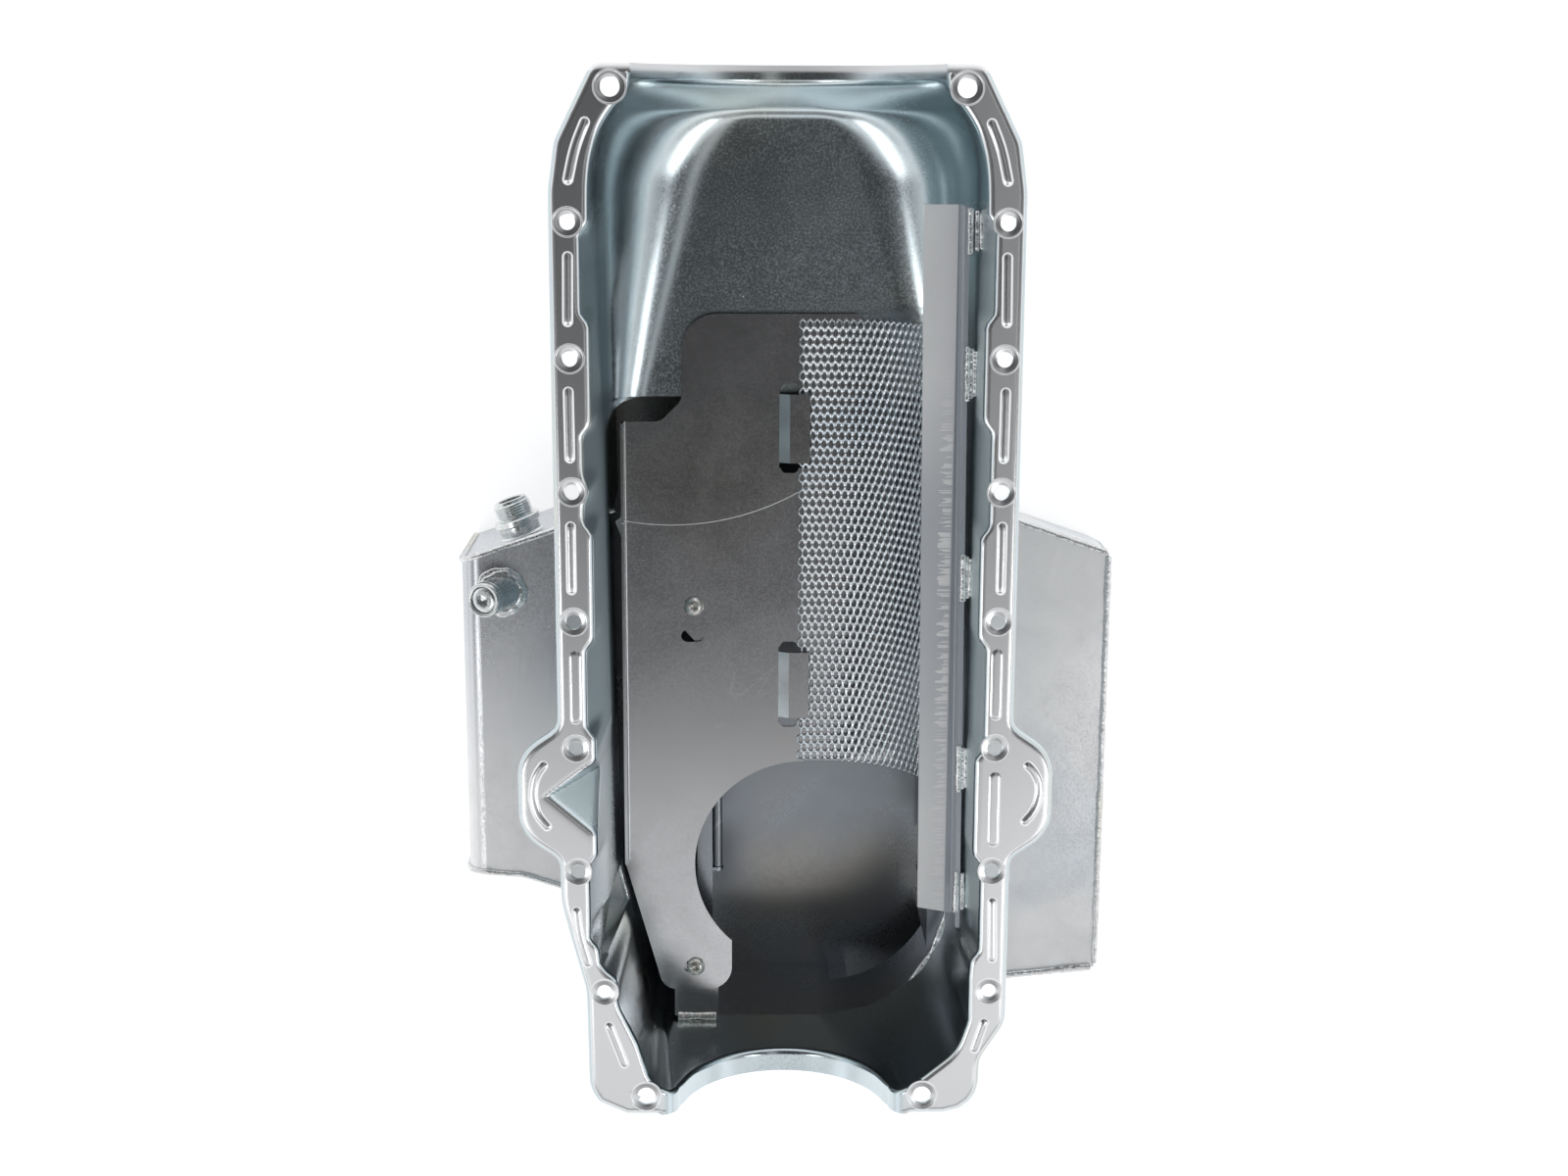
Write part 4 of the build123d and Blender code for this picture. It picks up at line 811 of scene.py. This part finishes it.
# %% Rear seat
seat_edge, seat_foot, rear_foot_y = rear_seat_radius + seat_round, 62.0, -303.5
rolls, first_angle = np.linspace(0, math.pi / 2, 8)[1:], math.asin(seat_round / rear_seat_radius)
stations = [(seat_round * math.sin(b) - seat_edge, seat_round * (math.cos(b) - 1), -math.sin(b), -math.cos(b))
            for b in rolls]
stations += [(-rear_seat_radius * math.cos(a), -rear_seat_radius * math.sin(a), -math.cos(a), -math.sin(a))
             for a in np.linspace(first_angle, math.pi / 2, 20)[1:]]
stations += [(-x, z, -across, down) for x, z, across, down in stations[-2::-1]]
left_end, right_end = rear_columns[-1][-1][-1], rear_columns[1][-1][-1]
left_foot, right_foot = rear_walls[-1][-1][-1], rear_walls[1][-1][-1]
steps = np.linspace(0, 1, 1 + len(rim_angles) + rail_steps)[:, None]
seat_columns, seat_walls = [], []
for x, z, across, down in stations:
    radial = np.array([across, 0.0, down])
    end_y = np.interp(x, [-seat_edge, -seat_foot, seat_foot, seat_edge],
                      [left_end[1], rear_wall_y, rear_wall_y, right_end[1]])
    lip, seat_end = np.array([x, rear_lip_y, z]), np.array([x, end_y - wall_bend, z])
    bend = [radial * wall_bend * (1 - math.cos(a)) + seat_end + (0, wall_bend * math.sin(a), 0)
            for a in bend_angles[1:]]
    column = np.vstack([lip + (seat_end - lip) * steps, bend])
    share = len(seat_columns) / (len(stations) - 1)
    foot_x = left_foot[0] + (right_foot[0] - left_foot[0]) * (1 - math.cos(math.pi * share)) / 2
    foot_y = np.interp(foot_x, [left_foot[0], -seat_foot, 24, right_foot[0]],
                       [left_foot[1], rear_foot_y, rear_foot_y, right_foot[1]])
    foot = np.array([foot_x, foot_y, cut_level])
    seat_columns.append(column)
    seat_walls.append(column[-1] + (foot - column[-1]) * wall_share[:, None])
ring_columns = np.array(columns[-1] + rear_columns[-1][1:] + seat_columns + rear_columns[1][::-1][:-1]
                        + columns[1][::-1])
ring_walls = np.array(walls[-1] + rear_walls[-1][1:] + seat_walls + rear_walls[1][::-1][:-1] + walls[1][::-1])
print("rail grid:", ring_columns.shape, "wall grid:", ring_walls.shape)

# %% [markdown]
# Eighteen bolt holes are punched through a small raised ring each, and stiffening beads are pressed up
# between them. They are fine closed forms of their own, set into the flat of the rail, so that their edges
# stay crisp in the mirror finish.

# %% Bolt rings and beads
pitch, ring_width, open_margin = 69.85, 3.9, 1.9
row_ys = [(2.5 - k) * pitch for k in range(6)]
bolt_holes = [(side * 112.7, y, 4.0) for y in row_ys for side in (-1, 1)]
bolt_holes += [(-99.2, -244.475, 4.0), (112.7, -244.475, 4.0)]
bolt_holes += [(side * 90.2, 242.0, 4.9) for side in (-1, 1)] + [(side * 76.8, -306.4, 4.9) for side in (-1, 1)]


def bolt_ring(x, y, hole):
    """The raised ring round one bolt hole, down through the sheet."""
    outer = hole + ring_width
    profile = [(outer + 0.15, -0.12), (outer, 0.2), (outer - 0.25, 0.42), (outer - 0.6, 0.42), (outer - 0.85, 0.16),
               (outer - 1.2, 0.1), (hole + 0.45, 0.06), (hole + 0.1, -0.1), (hole, -0.4), (hole, -1.75),
               (outer + 0.15, -1.75), (outer + 0.15, -0.12)]
    return lathe(profile, steps=44, centre=(x, y, 0))


def pressed_bead(stops, width=6.0, height=1.25, flat=False):
    """A raised bead with round ends, along a line through its stops."""
    path = rounded_path(stops, [20.0 if len(stops) > 3 else 80.0] * (len(stops) - 2))
    length, half = lengths(path)[-1], width / 2
    ends = half * (1 - np.cos(np.linspace(0, math.pi / 2, 6)))
    s = np.unique(np.round(np.concatenate([ends, np.linspace(half, length - half, max(3, int(length / 2.2))),
                                           length - ends]), 4))
    centres = at_length(path, s)
    run = np.gradient(centres, axis=0)
    across = np.stack([-run[:, 1], run[:, 0]], axis=-1) / np.linalg.norm(run, axis=1)[:, None]
    from_end = np.minimum(np.minimum(s, length - s), half)
    reach = np.sqrt(np.maximum(half**2 - (half - from_end) ** 2, 0.01))
    offsets = np.linspace(-1, 1, 11)
    o = reach[:, None] * offsets
    away = np.sqrt(o**2 + (half - from_end[:, None]) ** 2) / half
    rise = ease((1 - away) / 0.45) if flat else np.cos(np.clip(away, 0, 1) * math.pi / 2) ** 0.75
    z = height * rise - 0.12 * (away > 0.98)
    points = np.concatenate([centres[:, None, :] + o[..., None] * across[:, None, :], z[..., None]], axis=-1)
    return grid(points)


paired_lines = [[(101.9, 227.1), (108.4, 212), (112.6, 193)], [(112.7, 160), (113.3, 121)],
                [(113.6, 90.5), (113.3, 50)], [(113.6, 19.5), (113.6, -20.5)]]
bead_lines = [[(side * x, y) for x, y in line] for line in paired_lines for side in (-1, 1)]
bead_lines += [[(-128.7, -112), (-135, -120.5), (-136.6, -131), (-134.6, -142), (-127.2, -151)],
               [(128.7, -112.8), (135.5, -118.5), (138.1, -128.5), (135.5, -140), (128.2, -148.5)],
               [(-114.2, -194.5), (-112.6, -212), (-107.4, -230.5)], [(-97.9, -262), (-87.8, -290)],
               [(113.4, -189.5), (114.3, -228.5)], [(111.4, -260.5), (104.8, -281.8)]]
flat_lines = [[(-112.5, -50.5), (-112.5, -91.5)], [(112.8, -49.5), (112.8, -89.5)], [(113.2, -118), (113.2, -161)]]
relief = [bolt_ring(*hole) for hole in bolt_holes] + [pressed_bead(line) for line in bead_lines]
relief += [pressed_bead(line, width=7.0, height=0.5, flat=True) for line in flat_lines]
print("rings:", len(bolt_holes), "beads:", len(bead_lines) + len(flat_lines))

# %% Pan body mesh
points, faces = joined([grid(trough_rows), grid(mouth_lip), grid(ring_columns), grid(ring_walls)])
middles = points[np.array(faces)].mean(axis=1)
open_face = np.zeros(len(faces), bool)
for x, y, hole in bolt_holes:
    open_face |= (np.hypot(middles[:, 0] - x, middles[:, 1] - y) < hole + open_margin) & (middles[:, 2] > -2)
faces = [face for face, is_open in zip(faces, open_face) if not is_open]
body = make_piece("pressed_pan", [(points, faces)], "pressed_zinc", "pan_body")
up = sum(p.normal.z for p in body.data.polygons if abs(p.center.z) < 0.0002)
if up < 0:
    body.data.flip_normals()
thick = body.modifiers.new("sheet", "SOLIDIFY")
thick.thickness = sheet * millimetre
thick.offset = -1.0
thick.use_even_offset = True
solid = bpy.data.meshes.new_from_object(body.evaluated_get(bpy.context.evaluated_depsgraph_get()))
body.modifiers.clear()
relief_points, relief_faces = joined(relief)
relief_mesh = bpy.data.meshes.new("rail_relief")
relief_mesh.from_pydata((relief_points * millimetre).tolist(), [], relief_faces)
both = bmesh.new()
both.from_mesh(relief_mesh)
bmesh.ops.remove_doubles(both, verts=both.verts, dist=0.01 * millimetre)
bmesh.ops.recalc_face_normals(both, faces=both.faces)
for face in both.faces:
    face.smooth = True
both.from_mesh(solid)
both.to_mesh(body.data)
both.free()
body.data.polygons.foreach_set("use_smooth", [True] * len(body.data.polygons))
body.data.set_sharp_from_angle(angle=math.radians(38))
print("pressed pan polygons:", len(body.data.polygons))

# %% [markdown]
# ## Expanded-metal screen
# The screen is slit and stretched sheet: staggered rows of pointed openings between tilted strands. Each
# opening is one cell with a six-sided outer ring shared with its neighbours and a pointed inner ring, whose
# lower side stands high and upper side low, which tilts the strands. The cells are then rolled up towards
# the scraper on the same arc as in the frame.

# %% Screen
screen_left, screen_right, screen_front, screen_rear = 8.4, 77.6, 116.5, -141.0
screen_level, screen_arc, screen_radius = -96.3, math.radians(65.0), 62.2
opening_width, opening_length, strand = 4.2, 4.85, 0.75
bend_x = screen_right - screen_radius * math.sin(screen_arc)
unrolled = bend_x - screen_left + screen_radius * screen_arc
cells_across = round(unrolled / opening_width)
cell_x = unrolled / (cells_across + 0.5)
cell_rows = round((screen_front - screen_rear) / opening_length)
cell_y = (screen_front - screen_rear) / (cell_rows + 0.35)
outer_ring = np.array([(0.5, 0.33), (0.25, 0.5), (0.0, 0.67), (-0.25, 0.5), (-0.5, 0.33), (-0.5, 0.0),
                       (-0.5, -0.33), (-0.25, -0.5), (0.0, -0.67), (0.25, -0.5), (0.5, -0.33), (0.5, 0.0)])
inner_ring = np.array([(0.27, 0.20), (0.17, 0.36), (0.0, 0.46), (-0.17, 0.36), (-0.27, 0.20), (-0.32, 0.0),
                       (-0.27, -0.20), (-0.17, -0.36), (0.0, -0.46), (0.17, -0.36), (0.27, -0.20), (0.32, 0.0)])
middle_ring = 0.5 * (outer_ring + inner_ring)
inner_tip = 0.46
screen_parts = []
for row in range(cell_rows):
    for column in range(cells_across):
        centre = np.array([(column + 0.5 + 0.5 * (row % 2)) * cell_x, (row + 0.68) * cell_y])
        rings = []
        for ring, lift in ((outer_ring, 0.0), (middle_ring, 0.28), (inner_ring, 0.62)):
            flat = centre + ring * (cell_x, cell_y)
            rings.append(np.column_stack([flat, -lift * ring[:, 1] / inner_tip]))
        screen_parts.append(grid(np.array(rings).transpose(1, 0, 2), closed=True))
flat_points, screen_faces = joined(screen_parts)
run, height = flat_points[:, 0], flat_points[:, 2]
straight = bend_x - screen_left
turn = np.maximum(run - straight, 0) / screen_radius
screen_points = np.column_stack([
    screen_left + np.minimum(run, straight) + (screen_radius - height) * np.sin(turn),
    screen_rear + flat_points[:, 1],
    screen_level + screen_radius * (1 - np.cos(turn)) + height * np.cos(turn)])
screen = make_piece("expanded_screen", [(screen_points, screen_faces)], "screen_steel", "tray_screen", sharp=50,
                    weld=0.08)
screen_thick = screen.modifiers.new("strand", "SOLIDIFY")
screen_thick.thickness = strand * millimetre
screen_thick.offset = 0.0
print("openings:", cell_rows * cells_across)

# %% [markdown]
# ## Weld beads
# A bead is laid in overlapping puddles. Its section is a low arc, and each ripple is a small step in
# height whose crest lags at the sides, so it reads as a row of crescents. Seeded noise makes it uneven.


# %% Weld helpers
dice = np.random.default_rng(11)
bead_step, bead_sides = 0.75, 12


def bead_along(stops, up, width=5.0, height=2.4, ripple=1.7, rough=0.12, closed=False, sunk=0.9):
    """A weld bead along 3-D stops, standing up from its base line."""
    stops = np.asarray(stops, float)
    line = [stops[0]]
    for a, b in zip(stops, stops[1:]):
        count = max(1, int(np.linalg.norm(b - a) / bead_step))
        line.extend(a + (b - a) * (k + 1) / count for k in range(count))
    line = np.array(line[:-1] if closed else line)
    count = len(line)
    if closed:
        run = np.roll(line, -1, axis=0) - np.roll(line, 1, axis=0)
    else:
        if count > 20:
            padded = np.vstack([line[:1]] * 3 + [line] + [line[-1:]] * 3)
            line = np.column_stack([np.convolve(padded[:, k], np.ones(7) / 7, "valid") for k in range(3)])
        run = np.gradient(line, axis=0)
    run /= np.linalg.norm(run, axis=1)[:, None]
    side = np.cross(run, up)
    side /= np.linalg.norm(side, axis=1)[:, None]
    rise = np.cross(side, run)
    drift = np.convolve(dice.normal(0, 1, count + 16), np.ones(17) / 17, "valid")[:count] * 2.2
    jitter = np.convolve(dice.normal(0, 1, count + 2), np.ones(3) / 3, "valid")[:count]
    rings = []
    for angle in np.linspace(0, 2 * math.pi, bead_sides, endpoint=False):
        phase = (lengths(line) + 1.1 * abs(math.cos(angle)) + drift * 0.4) / ripple
        step = 1 + 0.13 * (1 - 2 * (phase % 1.0)) * max(0.0, math.sin(angle)) + rough * 0.5 * jitter
        wide = width / 2 * (1 + rough * drift) * math.cos(angle)
        tall = (height if math.sin(angle) > 0 else sunk) * step * math.sin(angle)
        rings.append(line + side * wide[:, None] + rise * tall[:, None])
    tube = np.array(rings).transpose(1, 0, 2)
    if closed:
        tube = np.concatenate([tube, tube[:1]])
    else:
        ends = [tube[:1].mean(axis=1, keepdims=True) - run[0] * 0.8,
                tube[-1:].mean(axis=1, keepdims=True) + run[-1] * 0.8]
        first, last = (np.repeat(end, bead_sides, axis=1) for end in ends)
        tube = np.concatenate([first, tube, last])
    return [grid(np.concatenate([tube, tube[:, :1]], axis=1))]


def weld_piece(name, beads, replaces):
    make_piece(name, beads, "weld_bead", replaces, sharp=60)


# %% Beads of the left kick-out
sweep = math.tan(math.radians(19.0))
left_front, left_rear, left_reach, left_top, left_fold, left_low = -24.4, -212.0, 186.0, -105.0, 11.0, -186.0
fold = [(left_reach - left_fold * (1 - math.sin(a)), left_top - left_fold * (1 - math.cos(a)))
        for a in np.linspace(0, math.pi / 2, 6)]
front_seam = [(96, left_top), (left_reach - left_fold, left_top), *fold[1:]]
front_seam = [(-x, left_front + (left_reach - x) * sweep, z) for x, z in front_seam]
front_seam += [(-left_reach, left_front, left_low)]
rear_seam = [(-left_reach + 86, left_rear - 20, left_top), (-left_reach + 58, left_rear - 10, left_top),
             (-left_reach + 33, left_rear - 2, left_top), (-left_reach + left_fold, left_rear, left_top)]
rear_seam += [(-x, left_rear, z) for x, z in fold[1:]] + [(-left_reach, left_rear, left_low)]
left_beads = bead_along(front_seam, (-0.5, 0.7, 0.7), width=4.0, height=1.7, rough=0.1)
left_beads += bead_along(rear_seam, (-0.5, -0.7, 0.7), width=4.2, height=1.8, rough=0.16, ripple=2.2)
weld_piece("left_seam_beads", left_beads, "left_kickout_welds")

# %% Beads of the right kick-out
right_front, right_rear, right_reach, right_top = -27.5, -290.6, 195.5, -148.0
right_line = [(96, right_front + (right_reach - 96) * sweep, right_top), (right_reach - 1, right_front, right_top),
              (right_reach, right_front - 2, right_top), (right_reach, right_rear + 2, right_top),
              (right_reach - 2, right_rear, right_top), (104, -299.5, right_top)]
right_beads = bead_along(right_line[:2], (0, 0.6, 0.8), width=4.4, height=1.9)
right_beads += bead_along(right_line[2:4], (0.6, 0, 0.8), width=4.0, height=1.7, rough=0.18)
right_beads += bead_along(right_line[4:], (0, -0.6, 0.8), width=5.2, height=2.3, rough=0.14)
weld_piece("right_seam_beads", right_beads, "right_kickout_welds")

# %% Bead round the sump
seam_path = [(-102.4, 50.0), (-96.8, -207), (-87.3, -248), (-79, -295), (-77.5, -301), (-74, -304.5), (-68, -305.2),
             (30, -305.2), (53, -301), (75, -286), (90, -264), (98, -240), (100.2, -226), (103.8, 50.0),
             (103, 60), (98, 68), (92, 72), (84, 73.8), (-82, 73.8), (-91, 71.5), (-98, 66), (-101.5, 58)]
seam_line = [(x, y, cut_level) for x, y in seam_path + seam_path[:1]]
weld_piece("sump_seam_bead", bead_along(seam_line, (0, 0, 1), width=3.2, height=1.5, sunk=1.5, closed=True),
           "sump_seam_weld")

# %% [markdown]
# ## Scraper welds, bracket weld and bung ring
# Five short stitches hold the scraper bar to the wall. Another one holds the rear bracket, and a rough
# ring of weld runs round the leaning bung.

# %% Stitch welds
stitch_parts = []
for front_y, rear_y in ((181, 156), (108, 78), (-5, -32), (-113, -141), (-187, -212)):
    middle = 0.5 * (front_y + rear_y)
    wall_x = mouth_half + pocket_depth * float(pocket_at(1, np.array(middle))) * 0.55
    for offset, level, size in ((0.0, -35.6, 3.4), (2.4, -36.6, 3.2), (4.4, -36.2, 3.2)):
        x = 96.8 + offset * (wall_x - 98.0) / 4.4
        stops = [(x, front_y - offset * 0.5, level), (x + 0.2, rear_y + offset * 0.6, level)]
        stitch_parts += bead_along(stops, (0, 0, 1), width=size, height=2.0, sunk=1.8, rough=0.2, ripple=2.1)
weld_piece("scraper_stitches", stitch_parts, "scraper_welds")
bracket_stops = [(-62.5, -301.4, -99.6), (-38.5, -301.4, -99.6)]
bracket_bead = bead_along(bracket_stops, (0, 0.5, 0.86), width=5.6, height=2.4, sunk=2.0, rough=0.2, ripple=2.4)
weld_piece("bracket_bead", bracket_bead, "rear_bracket_weld")

# %% [markdown]
# ## Leaning sensor bung
# A turned bung leans outwards from the left kick-out. It holds a plug with a hexagon socket, and it is
# welded round with two uneven passes. The forms are turned about the bung's own axis.

# %% Sensor bung
lean = math.radians(21.0)
bung_foot = np.array([-162.0, -42.1, left_top])
bung_place = bung_foot, (math.cos(lean), 0, math.sin(lean)), (-math.sin(lean), 0, math.cos(lean))
turned_steps, head_steps = 56, 48
bung_profile = [(6.75, -4.0), (6.75, 14.0), (7.75, 14.05), (7.75, 23.3), (8.1, 23.9), (8.5, 24.0), (9.3, 24.0),
                (9.8, 23.6), (10.0, 23.0), (10.0, 19.4), (9.8, 19.2), (9.8, 18.8), (10.0, 18.6), (10.0, 3.0),
                (10.3, 1.0), (10.9, -3.0)]
make_piece("leaning_bung", [lathe(bung_profile, turned_steps, *bung_place)], "turned_steel", "sensor_bung", sharp=32)


def hexagon_ring(across):
    """Radii of a hexagon sampled at equal angles, for across-flats width."""
    angles = np.linspace(0, 2 * math.pi, head_steps, endpoint=False)
    local = (angles + math.pi / 6) % (math.pi / 3) - math.pi / 6
    return across / 2 / np.cos(local)


def socket_head(profile, socket, depth, top, *place):
    """A turned head closed by a hexagon socket of a given width and depth."""
    hexagon, bottom = hexagon_ring(socket), top - depth
    rows = profile + [(hexagon + 0.35, top), (hexagon, top - 0.3), (hexagon, bottom), (hexagon * 0.5, bottom - 0.5),
                      (hexagon * 0.02, bottom - 0.9)]
    return lathe(rows, head_steps, *place)


plug_profile = [(0.05, 13.8), (7.6, 14.0), (7.6, 22.2), (7.2, 22.9), (6.4, 23.3), (5.2, 23.5)]
make_piece("bung_plug", [socket_head(plug_profile, 7.6, 4.0, 23.5, *bung_place)], "turned_steel", "sensor_plug",
           sharp=32)

# %% Weld round the bung
angles = np.linspace(0, 2 * math.pi, 73)
weld_ring = []
for spread_out, tall, wide in ((0.9, 2.6, 4.6), (2.6, 1.5, 4.0)):
    wobble = spread_out + 0.35 * np.sin(5 * angles + spread_out) + 0.25 * np.sin(11 * angles)
    circle = [(bung_foot[0] - 0.3 + (10.4 + w) * math.cos(a), bung_foot[1] + (10.2 + w) * math.sin(a), left_top)
              for a, w in zip(angles, wobble)]
    circle[-1] = circle[0]
    weld_ring += bead_along(circle, (0, 0, 1), width=wide, height=tall, closed=True, rough=0.2, ripple=2.0)
weld_piece("bung_weld_ring", weld_ring, "bung_weld")

# %% [markdown]
# ## Threaded side port
# The port on the left kick-out's front is a turned neck, a washer-like flange and a threaded nipple. The
# thread is a real helix: every section is turned a little further along the pitch.

# %% Side port
port_angle = math.radians(19.0)
port_foot = np.array([-152.4, left_front + (left_reach - 152.4) * sweep, -132.0])
port_place = (port_foot, (math.cos(port_angle), math.sin(port_angle), 0),
              (-math.sin(port_angle), math.cos(port_angle), 0))
neck = [(7.0, 0.0), (7.0, 6.5), (11.4, 6.5), (11.9, 6.0), (11.95, 1.0), (13.2, -0.2)]
make_piece("port_neck", [lathe(neck, turned_steps, *port_place)], "turned_steel", "side_port_bung")
turns, rows_per_turn, thread_pitch, crest, root = 6, 6, 1.5, 10.9, 10.0
turn_shares = np.linspace(0, 2 * math.pi, turned_steps, endpoint=False) / (2 * math.pi)
rows = [(7.0, 6.5), (13.1, 6.5), (13.75, 7.1), (13.75, 9.8), (13.2, 10.5), (10.2, 10.6)]
for k in range(turns * rows_per_turn + 1):
    level = 11.0 + k * thread_pitch / rows_per_turn
    phase = (level / thread_pitch - turn_shares) % 1.0
    wave = np.clip(1.6 * abs(2 * phase - 1) - 0.3, 0, 1)
    fade = min(1.0, k / 4, (turns * rows_per_turn - k) / 5)
    rows.append((root + (crest - root) * wave * fade, level))
rows += [(9.9, 20.4), (9.6, 21.3), (9.2, 21.5), (7.4, 21.5), (7.0, 21.1), (7.0, 6.5)]
make_piece("port_nipple", [lathe(rows, turned_steps, *port_place)], "turned_steel", "side_port_fitting", sharp=30)

# %% [markdown]
# ## Tray screws and drain plug
# Two button-head screws with hexagon sockets hold the tray. The drain plug at the rear has a bevelled
# hexagon head over a copper washer.

# %% Screws and drain plug
tray_face = -97.0
screw_places = [(-51.2, -48.5, tray_face), (-51.2, -269.0, tray_face)]
head = [(3.15, -10.0), (3.15, 0.0), (5.45, 0.0), (5.5, 0.3), (5.35, 1.1), (4.9, 1.9), (4.1, 2.7), (3.2, 3.2),
        (2.6, 3.35)]
screw_tip = [(0.05, -9.9), (2.8, -9.9), (3.15, -9.5)]
screw_parts = [socket_head(head, 4.0, 2.0, 3.4, place) for place in screw_places]
screw_parts += [lathe(screw_tip, head_steps, place) for place in screw_places]
make_piece("button_screws", screw_parts, "fastener_steel", "tray_screws", sharp=32)

hexagon = hexagon_ring(17.27)
rows = [(0.05, 0.0), (6.2, 0.0), (6.3, 7.5), (hexagon, 7.5), (hexagon, 11.2), (np.minimum(hexagon, 9.1), 11.6),
        (8.2, 12.0), (5.6, 12.0), (5.2, 11.6), (0.05, 11.6)]
drain_plug = lathe(rows, head_steps, (12.0, -305.3, -168.0), (-1, 0, 0), (0, -1, 0))
make_piece("drain_plug_head", [drain_plug], "fastener_steel", "drain_plug", sharp=32)
